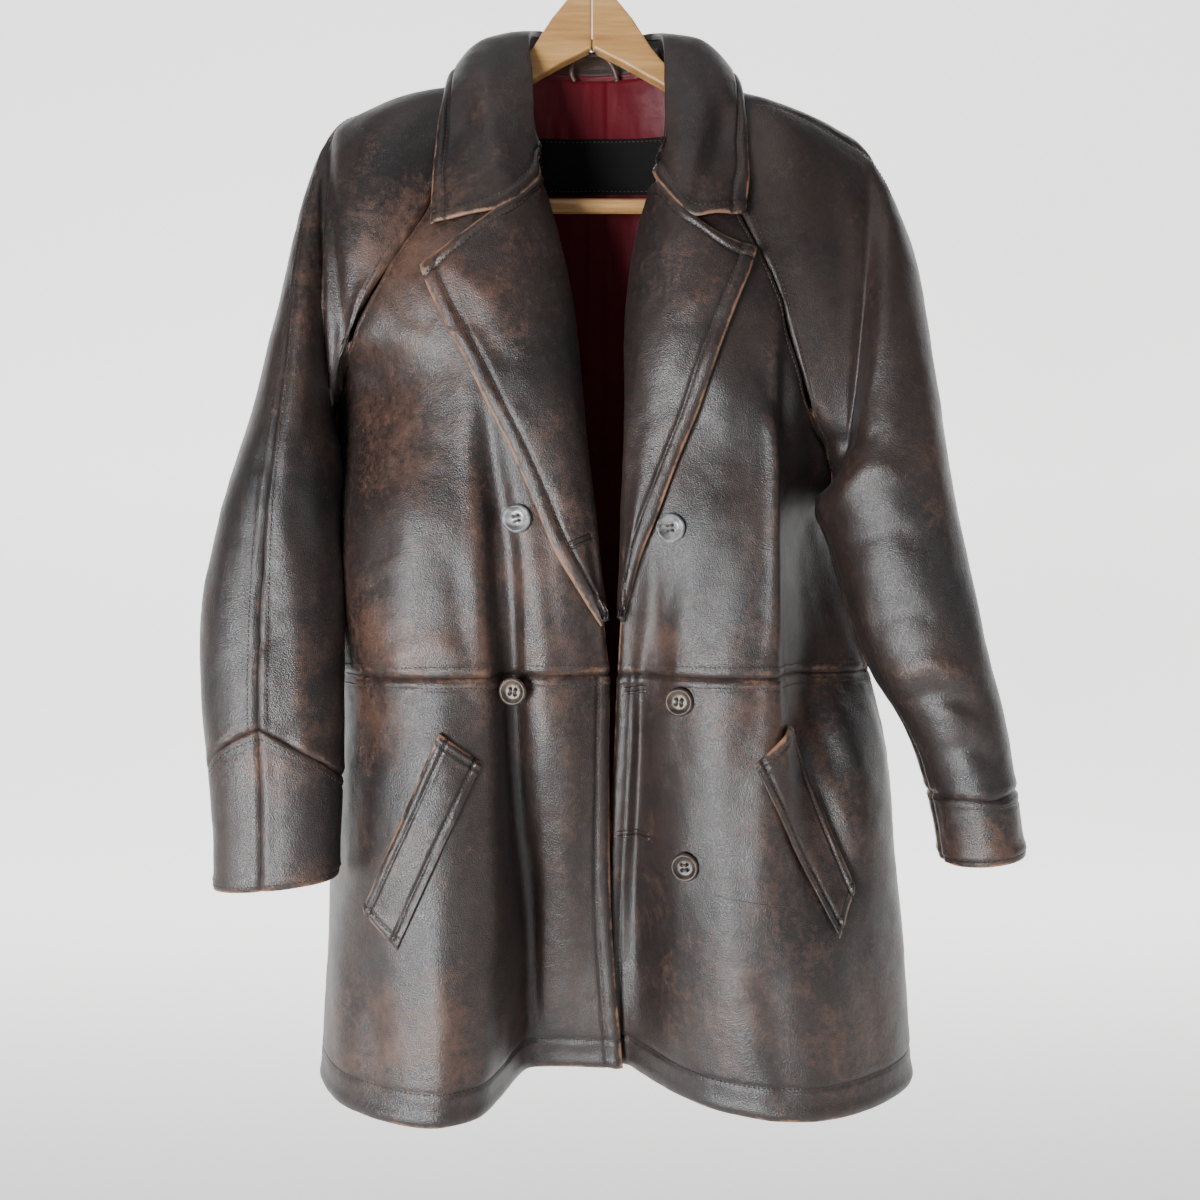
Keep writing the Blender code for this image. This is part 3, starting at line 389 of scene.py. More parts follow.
def shell(name, grid, normal, thickness, material, wear, rub, inside=None):
    # a wall with a rounded rim: outer surface, inner surface and one ring between them
    rows, columns = grid.shape[:2]
    count = rows * columns
    index = np.arange(count).reshape(rows, columns)
    a, b = index[:-1, :-1].ravel(), index[:-1, 1:].ravel()
    c, d = index[1:, 1:].ravel(), index[1:, :-1].ravel()
    front = np.stack([d, c, b, a], axis=1)
    border = np.concatenate([index[0, :-1], index[:-1, -1], index[-1, :0:-1], index[:0:-1, 0]])
    flat, push = grid.reshape(-1, 3), normal.reshape(-1, 3)
    ahead = np.roll(flat[border], -1, axis=0) - np.roll(flat[border], 1, axis=0)
    inward = np.cross(ahead, push[border])
    inward /= np.maximum(np.linalg.norm(inward, axis=1, keepdims=True), 1e-9)
    rim = flat[border] - push[border] * thickness / 2 - inward * thickness * 0.3
    points = np.concatenate([flat, flat - push * thickness, rim])
    ring = 2 * count + np.arange(len(border))
    nextBorder, nextRing = np.roll(border, -1), np.roll(ring, -1)
    faces = np.concatenate([front, front[:, ::-1] + count,
                            np.stack([border, nextBorder, nextRing, ring], axis=1),
                            np.stack([ring, nextRing, nextBorder + count, border + count], axis=1)])
    lengths = edgeLengths(grid)
    uv = np.stack([lengths["left"].ravel(), -lengths["top"].ravel()], axis=1) * mm
    layers = {"wear": np.concatenate([wear.ravel(), wear.ravel(), wear.ravel()[border] + 0.2]),
              "rub": np.concatenate([rub.ravel(), rub.ravel(), rub.ravel()[border]])}
    uv = np.concatenate([uv, uv, uv[border]])
    shape = putMesh(name, points, faces.tolist(), material, layers, uv)
    if inside is not None:
        shape.data.materials.append(inside)
        slots = np.zeros(len(faces), np.int32)
        slots[len(front): 2 * len(front)] = 1
        shape.data.polygons.foreach_set("material_index", slots)
    return shape


print("shapes ready")


# Materials

def node(tree, kind, inputs=None, **settings):
    made = tree.nodes.new(kind)
    for name, value in settings.items():
        setattr(made, name, value)
    for name, value in (inputs or {}).items():
        made.inputs[name].default_value = value
    return made


def ramp(tree, source, stops):
    made = tree.nodes.new("ShaderNodeValToRGB")
    tree.links.new(source, made.inputs[0])
    while len(made.color_ramp.elements) < len(stops):
        made.color_ramp.elements.new(0.5)
    for element, (place, colour) in zip(made.color_ramp.elements, stops):
        element.position = place
        element.color = (*colour, 1) if len(colour) == 3 else colour
    return made.outputs[0]


def mix(tree, factor, first, second, blend="MIX"):
    made = node(tree, "ShaderNodeMix", data_type="RGBA", blend_type=blend)
    for socket, value in ((made.inputs[0], factor), (made.inputs[6], first), (made.inputs[7], second)):
        if isinstance(value, bpy.types.NodeSocket):
            tree.links.new(value, socket)
        else:
            socket.default_value = (*value, 1) if isinstance(value, tuple) else value
    return made.outputs[2]


def maths(tree, operation, *values, clamp=False):
    made = node(tree, "ShaderNodeMath", operation=operation, use_clamp=clamp)
    for socket, value in zip(made.inputs, values):
        if isinstance(value, bpy.types.NodeSocket):
            tree.links.new(value, socket)
        else:
            socket.default_value = value
    return made.outputs[0]


def noise(tree, vector, scale, detail=4.0, roughness=0.6):
    made = node(tree, "ShaderNodeTexNoise", {"Scale": scale, "Detail": detail, "Roughness": roughness})
    tree.links.new(vector, made.inputs["Vector"])
    return made.outputs["Fac"]


def bump(tree, height, distance, strength, after=None):
    made = node(tree, "ShaderNodeBump", {"Strength": strength, "Distance": distance})
    tree.links.new(height, made.inputs["Height"])
    if after is not None:
        tree.links.new(after, made.inputs["Normal"])
    return made.outputs["Normal"]


def setInputs(shader, values):
    for name, value in values.items():
        shader.inputs[name].default_value = value


def newMaterial(name, colour, roughness, metallic=0.0):
    # a plain material, with what is needed to build on it: its tree, shader and place on the object
    made = bpy.data.materials.new(name)
    made.use_nodes = True
    made.diffuse_color = (*colour, 1)
    shader = made.node_tree.nodes["Principled BSDF"]
    setInputs(shader, {"Base Color": (*colour, 1), "Roughness": roughness, "Metallic": metallic})
    place = made.node_tree.nodes.new("ShaderNodeTexCoord").outputs["Object"]
    return made, made.node_tree, shader, place


# the groove colour is painted shade for the sewn stitch grooves; the other colours are the leather's own
leatherLook = {"dark": (0.0105, 0.0080, 0.0080), "brown": (0.040, 0.0225, 0.0170),
               "rust": (0.122, 0.058, 0.036), "paintedGrooveShade": (0.0045, 0.0034, 0.0032),
               "tan": (0.260, 0.128, 0.070), "grain": 980.0, "pebble": 480.0}


def leatherMaterial(name, rubAll=0.0):
    look = leatherLook
    made, tree, shader, place = newMaterial(name, look["brown"], 0.42)
    wear = node(tree, "ShaderNodeAttribute", attribute_name="wear").outputs["Fac"]
    rub = node(tree, "ShaderNodeAttribute", attribute_name="rub").outputs["Fac"]
    large = noise(tree, place, 9.0, 4.0, 0.66)
    middle = noise(tree, place, 34.0, 5.0, 0.72)
    fine = noise(tree, place, 210.0, 3.0, 0.75)
    cloudy = maths(tree, "ADD", maths(tree, "MULTIPLY", large, 0.6), maths(tree, "MULTIPLY", fine, 0.4))
    ground = mix(tree, ramp(tree, cloudy, [(0.38, (0, 0, 0)), (0.66, (1, 1, 1))]), look["dark"],
                 look["brown"])
    # rust-coloured rubbing where the rub attribute asks for it, broken up by two noises
    mottle = maths(tree, "ADD", maths(tree, "MULTIPLY", middle, 0.55), maths(tree, "MULTIPLY", fine, 0.45))
    asked = maths(tree, "ADD", maths(tree, "MULTIPLY", rub, 0.24), mottle)
    rubbed = ramp(tree, maths(tree, "ADD", asked, rubAll), [(0.555, (0, 0, 0)), (0.87, (1, 1, 1))])
    ground = mix(tree, rubbed, ground, look["rust"])
    # bare tan leather on edges and sewn ridges, in broken patches
    patches = ramp(tree, middle, [(0.40, (0.50, 0.50, 0.50)), (0.58, (1, 1, 1))])
    onEdges = maths(tree, "MULTIPLY", maths(tree, "MULTIPLY", wear, 0.66), patches)
    worn = maths(tree, "ADD", onEdges, maths(tree, "MULTIPLY", mottle, 0.9))
    bare = ramp(tree, worn, [(0.70, (0, 0, 0)), (1.06, (1, 1, 1))])
    ground = mix(tree, bare, ground, look["tan"])
    # where the worn-and-shaded value is below nought, painted shade darkens the sewn stitch grooves
    ground = mix(tree, maths(tree, "MULTIPLY", wear, -1.0, clamp=True), ground, look["paintedGrooveShade"])
    tree.links.new(ground, shader.inputs["Base Color"])
    pebbles = node(tree, "ShaderNodeTexVoronoi", {"Scale": look["grain"], "Randomness": 1.0}, feature="F1")
    tree.links.new(place, pebbles.inputs["Vector"])
    wrinkles = node(tree, "ShaderNodeTexVoronoi", {"Scale": look["pebble"], "Randomness": 1.0},
                    feature="DISTANCE_TO_EDGE")
    shift = node(tree, "ShaderNodeTexNoise", {"Scale": 90.0})
    tree.links.new(place, shift.inputs["Vector"])
    tree.links.new(mix(tree, 0.012, place, shift.outputs["Color"], "ADD"), wrinkles.inputs["Vector"])
    lines = ramp(tree, wrinkles.outputs["Distance"], [(0.0, (0, 0, 0)), (0.12, (1, 1, 1))])
    grain = bump(tree, pebbles.outputs["Distance"], 0.0007, 0.36)
    grain = bump(tree, lines, 0.00018, 0.22, grain)
    grain = bump(tree, noise(tree, place, 600.0, 2.0, 0.7), 0.0004, 0.18, grain)
    tree.links.new(bump(tree, middle, 0.0030, 0.26, grain), shader.inputs["Normal"])
    gloss = maths(tree, "ADD", maths(tree, "MULTIPLY", middle, 0.22), maths(tree, "MULTIPLY", bare, 0.18))
    tree.links.new(maths(tree, "ADD", gloss, 0.29, clamp=True), shader.inputs["Roughness"])
    setInputs(shader, {"Specular IOR Level": 0.7, "Sheen Weight": 0.03, "Sheen Roughness": 0.45,
                       "Sheen Tint": (0.62, 0.68, 0.82, 1)})
    return made


def satinMaterial(name):
    made, tree, shader, place = newMaterial(name, (0.13, 0.012, 0.015), 0.4)
    large = noise(tree, place, 12.0, 3.0)
    colour = mix(tree, large, (0.062, 0.003, 0.007), (0.135, 0.007, 0.014))
    tree.links.new(colour, shader.inputs["Base Color"])
    threads = node(tree, "ShaderNodeTexWave", {"Scale": 900.0, "Distortion": 1.2, "Detail": 1.0},
                   bands_direction="X")
    tree.links.new(place, threads.inputs["Vector"])
    weave = bump(tree, threads.outputs["Fac"], 0.00006, 0.35)
    tree.links.new(bump(tree, noise(tree, place, 55.0, 3.0), 0.0016, 0.4, weave), shader.inputs["Normal"])
    setInputs(shader, {"Sheen Weight": 0.04, "Sheen Tint": (1.0, 0.45, 0.40, 1), "Specular IOR Level": 0.2})
    return made


def labelMaterial(name):
    made, tree, shader, place = newMaterial(name, (0.010, 0.010, 0.011), 0.8)
    rows = node(tree, "ShaderNodeTexWave", {"Scale": 420.0, "Distortion": 0.6}, bands_direction="Z")
    tree.links.new(place, rows.inputs["Vector"])
    columns = node(tree, "ShaderNodeTexWave", {"Scale": 420.0, "Distortion": 0.6}, bands_direction="X")
    tree.links.new(place, columns.inputs["Vector"])
    weave = maths(tree, "MULTIPLY", rows.outputs["Fac"], columns.outputs["Fac"])
    colour = mix(tree, weave, (0.003, 0.003, 0.004), (0.020, 0.021, 0.022))
    colour = mix(tree, noise(tree, place, 30.0), colour, (0.008, 0.007, 0.006))
    shader.inputs["Specular IOR Level"].default_value = 0.15
    tree.links.new(colour, shader.inputs["Base Color"])
    tree.links.new(bump(tree, weave, 0.0002, 0.6), shader.inputs["Normal"])
    return made


def hornMaterial(name, pale, dark, offset, rough):
    made, tree, shader, place = newMaterial(name, dark, rough)
    moved = node(tree, "ShaderNodeMapping", {"Location": offset, "Scale": (1.0, 1.0, 2.4)})
    tree.links.new(place, moved.inputs["Vector"])
    cloud = noise(tree, moved.outputs["Vector"], 48.0, 5.0, 0.6)
    colour = mix(tree, ramp(tree, cloud, [(0.40, (0, 0, 0)), (0.62, (1, 1, 1))]), dark, pale)
    tree.links.new(colour, shader.inputs["Base Color"])
    tree.links.new(bump(tree, noise(tree, place, 700.0, 2.0), 0.00006, 0.3), shader.inputs["Normal"])
    setInputs(shader, {"Coat Weight": 0.12, "Coat Roughness": rough})
    return made


def threadMaterial(name, colour):
    made, tree, shader, place = newMaterial(name, colour, 0.6)
    strands = noise(tree, place, 2400.0, 2.0)
    tree.links.new(mix(tree, strands, tuple(c * 0.6 for c in colour), tuple(c * 1.5 for c in colour)),
                   shader.inputs["Base Color"])
    tree.links.new(bump(tree, strands, 0.0001, 0.5), shader.inputs["Normal"])
    return made


def woodMaterial(name):
    made, tree, shader, place = newMaterial(name, (0.68, 0.42, 0.19), 0.35)
    turned = node(tree, "ShaderNodeMapping",
                  {"Rotation": (0, math.radians(-27), 0), "Scale": (4.0, 30.0, 46.0)})
    tree.links.new(place, turned.inputs["Vector"])
    grain = noise(tree, turned.outputs["Vector"], 3.2, 6.0, 0.62)
    colour = ramp(tree, grain,
                  [(0.30, (0.36, 0.17, 0.058)), (0.52, (0.52, 0.28, 0.10)), (0.72, (0.63, 0.37, 0.15))])
    tree.links.new(colour, shader.inputs["Base Color"])
    tree.links.new(bump(tree, grain, 0.0004, 0.25), shader.inputs["Normal"])
    setInputs(shader, {"Coat Weight": 0.3, "Coat Roughness": 0.2})
    return made


def steelMaterial(name):
    made, tree, shader, place = newMaterial(name, (0.62, 0.62, 0.63), 0.25, 1.0)
    scuffs = noise(tree, place, 300.0, 4.0)
    tree.links.new(maths(tree, "ADD", maths(tree, "MULTIPLY", scuffs, 0.25), 0.12),
                   shader.inputs["Roughness"])
    tree.links.new(mix(tree, scuffs, (0.45, 0.45, 0.46), (0.72, 0.72, 0.73)), shader.inputs["Base Color"])
    return made


leather = leatherMaterial("leather")
paleLeather = leatherMaterial("folded leather edge", 0.18)
satin = satinMaterial("satin lining")
labelCloth = labelMaterial("label cloth")
wood = woodMaterial("varnished wood")
steel = steelMaterial("steel wire")
brownThread = threadMaterial("brown thread", (0.062, 0.038, 0.027))
greyHorn = hornMaterial("grey horn", (0.36, 0.35, 0.35), (0.09, 0.085, 0.085), (0.1, 0, 0), 0.24)
brownHorn = hornMaterial("brown horn", (0.100, 0.064, 0.044), (0.030, 0.020, 0.015), (0.4, 0, 0.2), 0.38)
print("materials ready")

# The hanger keeps its solids and takes better finishes
for name in ("hanger_arm_right", "hanger_arm_left", "hanger_bar"):
    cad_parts[name].data.materials[0] = wood
for name in ("hanger_hook", "hanger_washer"):
    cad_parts[name].data.materials[0] = steel


# Panels in fine points

panelDetail = {"frontColumns": 120, "backColumns": 120, "upperRows": 170, "skirtRows": 150,
               "sleeveRows": 170, "sleeveColumns": 74, "cuffRows": 22}


def bodyGrids(acrossFront, acrossBack, upperRows, skirtRows):
    grids = {}
    for side in sides:
        net, seam = frontNet(side), [(-1, side, "front")]
        for name, rows in (("front_upper_", upperRows), ("front_lower_", skirtRows)):
            grid = bodyPanel(net, steps(0, 1, acrossFront), rows, seam)
            grids[name + side] = grid[:, ::-1] if side == "right" else grid
    net, seam = backNet(), [(0, "left", "back"), (-1, "right", "back")]
    for name, rows in (("back_upper", upperRows), ("back_lower", skirtRows)):
        grids[name] = bodyPanel(net, steps(1, 0, acrossBack), rows, seam)
    return grids


def coatPanels():
    size = panelDetail
    grids = bodyGrids(size["frontColumns"], size["backColumns"], steps(0, waistRow, size["upperRows"]),
                      steps(waistRow, hemRow, size["skirtRows"]))
    coarseRows = np.concatenate([steps(0, armpitRow, 9), steps(armpitRow, waistRow, 6)[1:]])
    body = surfaceTree(list(bodyGrids(18, 14, coarseRows, steps(waistRow, hemRow, 8)).values()))
    across = steps(0, 1, size["sleeveColumns"])
    for side in sides:
        for face in ("front", "back"):
            sleeve = netPoints(heldOff(sleeveGrid(side, face, 20, 9), body), across,
                               steps(0, 20, size["sleeveRows"]))
            cuff = netPoints(cuffGrid(side, face, 2, 9), across, steps(0, 2, size["cuffRows"]))
            if (side == "right") != (face == "front"):
                sleeve, cuff = sleeve[:, ::-1], cuff[:, ::-1]
            grids["sleeve_" + face + "_" + side] = sleeve
            grids["cuff_" + face + "_" + side] = cuff
    return grids


def heldOff(grid, body):
    moved = grid.copy()
    for row in range(1, grid.shape[0]):
        for column in range(grid.shape[1]):
            point = grid[row, column]
            need = min(sleeveClearance, 1.1 * np.linalg.norm(point - grid[0, column]))
            hit, normal, _, distance = body.find_nearest(tuple(point))
            outward = -np.array(normal)
            height = float(np.dot(point - np.array(hit), outward))
            if distance < 45 and height < need:
                moved[row, column] = point + outward * (need - height)
    return moved


# The sides of the body swell a little behind the sleeves, so that no light shows between them
sideSwell = [("right", -7.5, -540, 105), ("right", -3.5, -436, 26), ("left", 6.5, -491, 30)]


def swollen(name, grid):
    if not name.startswith(("front_upper", "back_upper")):
        return grid
    grid = grid.copy()
    for side, push, height, reach in sideSwell:
        sign = -1 if side == "right" else 1
        near = np.clip((grid[:, :, 0] * sign - 150) / 55, 0, 1)
        grid[:, :, 0] += push * near * np.exp(-(((grid[:, :, 2] - height) / reach) ** 4))
    return grid


panels = {name: swollen(name, grid) for name, grid in coatPanels().items()}
upperTree = surfaceTree([grid for name, grid in panels.items() if "upper" in name or "sleeve" in name])
frontTree = surfaceTree([panels["front_" + part + "_" + side] for side in sides
                         for part in ("upper", "lower")])
print("panels ready")


def draped(tree, x, z, lift, fallback=-70.0):
    hit, normal, _, _ = tree.ray_cast((x, -400.0, z), (0.0, 1.0, 0.0))
    if hit is None:
        return np.array([x, fallback - lift, z])
    return np.array([x, hit[1] - lift / max(abs(normal[1]), 0.5), z])


# Folds, creases and rubbed patches. A crease is a line of (x, z) points with a
# width and a height: below zero it is a trough. A patch is (x, z, width, height, strength).

frontCreases = [
    ([(-86, -430), (-78, -520), (-74, -604), (-67, -686), (-63, -768), (-57, -850), (-54, -930),
      (-52, -985)], 9, -6.0),
    ([(-100, -440), (-94, -520), (-90, -604), (-84, -690), (-80, -768)], 11, 3.0),
    ([(-170, -345), (-150, -372), (-128, -388)], 10, -2.2),
    ([(-196, -400), (-172, -432), (-150, -452)], 13, -2.4),
    ([(-206, -470), (-180, -520), (-160, -575)], 16, -2.6),
    ([(-205, -560), (-185, -610), (-175, -650)], 12, 2.0),
    ([(-175, -655), (-130, -640), (-100, -650)], 10, 1.6),
    ([(-120, -560), (-108, -600), (-100, -655)], 12, -1.8),
    ([(-40, -520), (-36, -580), (-30, -640)], 9, -2.0),
    ([(-18, -700), (-22, -800), (-26, -900)], 11, 1.8),
    ([(-190, -900), (-176, -950), (-168, -1015)], 16, -3.0),
    ([(-125, -880), (-118, -950), (-114, -1015)], 15, 2.5),
    ([(160, -370), (158, -450), (160, -540), (163, -620), (168, -680)], 8, -4.5),
    ([(150, -360), (149, -450), (150, -560), (150, -650)], 8, 2.6),
    ([(168, -720), (182, -765), (205, -815), (222, -840)], 10, -4.0),
    ([(178, -706), (196, -750), (222, -800)], 10, 2.5),
    ([(48, -560), (52, -620), (60, -690)], 8, -2.0),
    ([(100, -560), (96, -620), (92, -690)], 14, -1.8),
    ([(128, -690), (122, -740), (118, -800), (124, -870)], 14, -2.2),
    ([(60, -860), (52, -930), (50, -1010)], 13, -2.6),
    ([(140, -900), (150, -960), (158, -1015)], 16, -2.6),
    ([(225, -870), (232, -940), (240, -1010)], 14, -2.4),
    ([(175, -420), (188, -470), (196, -520)], 9, -3.0),
]
backCreases = [
    ([(-120, -300), (-70, -340), (-20, -350)], 16, -2.6), ([(130, -310), (80, -350), (30, -356)], 16, -2.6),
    ([(-170, -430), (-140, -470), (-120, -540)], 14, -2.4),
    ([(165, -460), (140, -520), (122, -590)], 14, -2.4),
    ([(-90, -560), (-80, -620), (-84, -700)], 13, 2.2), ([(70, -560), (62, -630), (66, -700)], 13, 2.2),
    ([(-20, -700), (-16, -820), (-20, -1000)], 18, -3.2),
    ([(150, -760), (156, -880), (162, -1000)], 18, -3.0),
    ([(-150, -720), (-158, -860), (-166, -1000)], 17, -3.2),
    ([(60, -800), (66, -900), (70, -1010)], 15, 2.6),
    ([(-60, -180), (0, -200), (60, -182)], 13, -1.8), ([(-80, -660), (0, -650), (80, -662)], 14, 1.6),
]
sleeveCreases = {
    "right": [
        ([(-226, -190), (-222, -250), (-214, -320), (-209, -380), (-208, -430)], 7, -4.0),
        ([(-238, -240), (-236, -320), (-240, -400), (-236, -470)], 9, 2.4),
        ([(-222, -420), (-232, -470), (-236, -530), (-230, -580)], 10, -2.6),
        ([(-284, -598), (-293, -650), (-303, -700), (-311, -760), (-321, -800)], 12, -4.0),
        ([(-240, -560), (-236, -640), (-232, -720), (-236, -780)], 10, 2.2),
        ([(-300, -520), (-280, -560), (-262, -590)], 12, -2.4),
        ([(-226, -600), (-246, -625), (-270, -640)], 9, -2.0),
        ([(-224, -690), (-240, -712), (-256, -726)], 8, -1.8),
        ([(-255, -300), (-270, -350), (-282, -400)], 14, -2.0),
        ([(-262, -350), (-258, -430), (-262, -500)], 12, -1.6),
    ],
    "left": [
        ([(136, -177), (170, -187), (194.5, -200.5), (214.5, -210), (236, -222), (249, -239), (256, -260)],
         2.0, -1.6),
        ([(196, -250), (206, -300), (210, -350), (205, -400)], 14, -2.4),
        ([(226, -230), (240, -290), (250, -350)], 14, -1.6),
        ([(180, -480), (200, -470), (230, -476)], 8, -3.0),
        ([(196, -520), (222, -500), (250, -505)], 9, 2.4),
        ([(205, -560), (236, -548), (262, -560)], 10, -2.6),
        ([(226, -625), (250, -612), (276, -622)], 10, -2.8),
        ([(244, -668), (268, -655), (300, -668)], 9, 3.0),
        ([(252, -690), (280, -680), (312, -694)], 8, -3.4),
        ([(276, -735), (300, -722), (330, -738)], 10, -2.4),
        ([(292, -770), (312, -766), (334, -776)], 9, 1.8),
        ([(280, -420), (276, -500), (286, -580)], 15, 2.4),
    ],
}
rubPatches = [
    (328, -800, 36, 26, 0.9), (-262, -735, 50, 26, 0.6), (-232, -832, 40, 14, 0.8), (70, -345, 26, 50, 0.35),
    (-150, -322, 55, 62, 1.0), (-130, -380, 70, 50, 0.7), (-70, -330, 40, 50, 0.35),
    (-160, -470, 50, 90, 0.6), (-40, -560, 40, 70, 0.85), (-150, -640, 70, 40, 0.8),
    (-180, -700, 40, 40, 0.8), (-30, -660, 40, 60, 0.7), (-170, -960, 90, 50, 0.75),
    (-60, -960, 40, 50, 0.4), (-160, -820, 60, 60, 0.35), (60, -640, 30, 40, 0.55), (150, -700, 60, 40, 0.8),
    (120, -640, 50, 30, 0.4), (170, -830, 50, 90, 0.55), (230, -960, 50, 60, 0.75), (110, -930, 60, 60, 0.5),
    (230, -780, 30, 60, 0.5), (40, -860, 25, 60, 0.3),
]


def lineDistance(points, line):
    x, z = points[..., 0], points[..., 2]
    line = spline(np.array(line, float), steps(0, len(line) - 1, (len(line) - 1) * 4))
    best = np.full(x.shape, 1e9)
    where = np.zeros(x.shape)
    for number, (start, end) in enumerate(zip(line[:-1], line[1:])):
        span = end - start
        along = np.clip(((x - start[0]) * span[0] + (z - start[1]) * span[1]) / (span @ span), 0, 1)
        gap = np.hypot(x - start[0] - along * span[0], z - start[1] - along * span[1])
        closer = gap < best
        best = np.where(closer, gap, best)
        where = np.where(closer, (number + along) / (len(line) - 1), where)
    return best, where


def creaseHeight(points, creases):
    total = np.zeros(points.shape[:2])
    for line, width, height in creases:
        gap, where = lineDistance(points, line)
        fade = np.sin(math.pi * np.clip(where, 0.02, 0.98)) ** 0.5
        total += height * fade * np.exp(-((gap / width) ** 2))
    return total


def patchStrength(points):
    total = np.zeros(points.shape[:2])
    for x, z, width, height, strength in rubPatches:
        away = ((points[..., 0] - x) / width) ** 2 + ((points[..., 2] - z) / height) ** 2
        total = np.maximum(total, strength * np.exp(-away))
    return total


seamLook = {"dip": 1.7, "dipWidth": 2.2, "puff": 0.6, "pucker": 0.5, "puckerSize": 11.0, "stitchDip": 1.5,
            "stitchWidth": 1.7, "stitchShade": 0.8, "besideSeam": 9,
            "seamStitchDip": 0.45, "seamStitchShade": 0.25,
            "rib": 1.2, "soft": 1.5, "fine": 0.35, "seamWear": 0.52, "stitchWear": 0.45, "edgeWear": 0.98}
everySeam = ("left", "right", "top", "bottom")


def dressed(grid, normal, seams, creases=(), stitches=(), edges=(), seed=1):
    # the surface pushed in and out along its normals, with how worn and how rubbed each point is, and painted
    # shade along its stitch lines as worn values below nought
    look = seamLook
    lengths = edgeLengths(grid)
    height = (look["soft"] * softNoise(grid * (1, 1, 0.45), 34, seed)
              + look["fine"] * softNoise(grid, 12, seed + 1))
    pucker = softNoise(grid, look["puckerSize"], seed + 2)
    wear = np.zeros(grid.shape[:2])
    for border in seams:
        away = lengths[border]
        height += -look["dip"] * np.exp(-((away / look["dipWidth"]) ** 2)) * (1 + 0.3 * pucker)
        height += (look["puff"] * np.exp(-(((away - 6) / 3.5) ** 2))
                   + look["pucker"] * pucker * np.exp(-((away / 12) ** 2)))
        wear = np.maximum(wear, look["seamWear"] * np.exp(-(((away - 2.6) / 1.7) ** 2)))
    for border, distance in stitches:
        away = lengths[border] - distance
        depth = look["seamStitchDip"] if distance == look["besideSeam"] else look["stitchDip"]
        height += -depth * np.exp(-((away / look["stitchWidth"]) ** 2)) * (1 + 0.5 * pucker)
        height += 0.5 * pucker * np.exp(-((away / 9) ** 2))
        wear = np.maximum(wear, look["stitchWear"] * np.exp(-(((away + 2.2) / 1.8) ** 2)))
    for border in edges:
        away = lengths[border]
        height += look["rib"] * np.exp(-(((away - 6) / 4.5) ** 2)) - 0.9 * np.exp(-((away / 1.8) ** 2))
        wear = np.maximum(wear, look["edgeWear"] * np.exp(-((away / 2.2) ** 2)))
    folds = creaseHeight(grid, creases)
    height += folds
    rub = np.clip(patchStrength(grid) + 0.20 * np.clip(folds, 0, 2.5), 0, 1)
    wear = np.maximum(wear, np.clip(folds - 1.6, 0, 1) * 0.35)
    # painted shade: each stitch line is darkened in colour, as a worn value below nought
    for border, distance in stitches:
        shade = look["seamStitchShade"] if distance == look["besideSeam"] else look["stitchShade"]
        wear -= shade * np.exp(-(((lengths[border] - distance) / look["stitchWidth"]) ** 2))
    return grid + normal * height[..., None], wear, rub


def asCloth(shape, nodes):
    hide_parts(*nodes)
    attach(shape, "root")
    return shape


stitchLines = []


def sew(grid, normal, border, distance, first=0.0, last=1.0, lift=0.15):
    # a line of stitches a set distance inside one border of a panel
    lengths = edgeLengths(grid)[border]
    sideways = border in ("left", "right")
    lines = grid.shape[0] if sideways else grid.shape[1]
    raised = grid + normal * lift
    route = []
    for number in range(int(first * (lines - 1)), int(last * (lines - 1)) + 1):
        away = lengths[number] if sideways else lengths[:, number]
        points = raised[number] if sideways else raised[:, number]
        if border in ("right", "bottom"):
            away, points = away[::-1], points[::-1]
        route.append([np.interp(distance, away, points[:, axis]) for axis in range(3)])
    stitchLines.append(np.array(route))


# The body, sleeves and cuffs

panelPieces = {
    "front_upper_right": {"seams": ("left", "top", "bottom"), "edges": ("right",), "creases": frontCreases,
                          "stitches": (("left", 9), ("bottom", 9))},
    "front_upper_left": {"seams": ("right", "top", "bottom"), "edges": ("left",), "creases": frontCreases,
                         "stitches": (("right", 9), ("bottom", 9))},
    "front_lower_right": {"seams": ("left", "top"), "edges": ("right", "bottom"), "creases": frontCreases,
                          "stitches": (("bottom", 26), ("right", 13), ("top", 9))},
    "front_lower_left": {"seams": ("right", "top"), "edges": ("left", "bottom"), "creases": frontCreases,
                         "stitches": (("bottom", 26), ("left", 13), ("top", 9))},
    "back_upper": {"seams": everySeam, "edges": (), "creases": backCreases,
                   "stitches": (("left", 9), ("right", 9), ("bottom", 9))},
    "back_lower": {"seams": ("left", "right", "top"), "edges": ("bottom",), "creases": backCreases,
                   "stitches": (("bottom", 26), ("top", 9))},
}
for side in sides:
    for face in ("front", "back"):
        panelPieces["sleeve_" + face + "_" + side] = {
            "seams": everySeam, "edges": (), "creases": sleeveCreases[side] if face == "front" else (),
            "stitches": (("top", 9), ("left" if (face == "front") == (side == "right") else "right", 9))}
        panelPieces["cuff_" + face + "_" + side] = {
            "seams": ("left", "right", "top"), "edges": ("bottom",), "creases": (),
            "stitches": (("top", 8), ("bottom", 4))}
dressedGrids = {}
for number, (name, look) in enumerate(panelPieces.items()):
    grid = panels[name]
    normal = gridNormals(grid)
    shaped, wear, rub = dressed(grid, normal, look["seams"], look["creases"], look["stitches"],
                                look["edges"], 3)
    inside = satin if name.startswith(("front_lower", "back")) else leather
    dressedGrids[name] = shaped
    shape = shell(name + "_leather", shaped, normal, leatherWall, leather, wear, rub, inside)
    asCloth(shape, [name])
    for border, distance in look["stitches"]:
        sew(shaped, normal, border, distance)
print("body ready")


# Collar and lapels: the leaves lie over the fronts, a set height above them

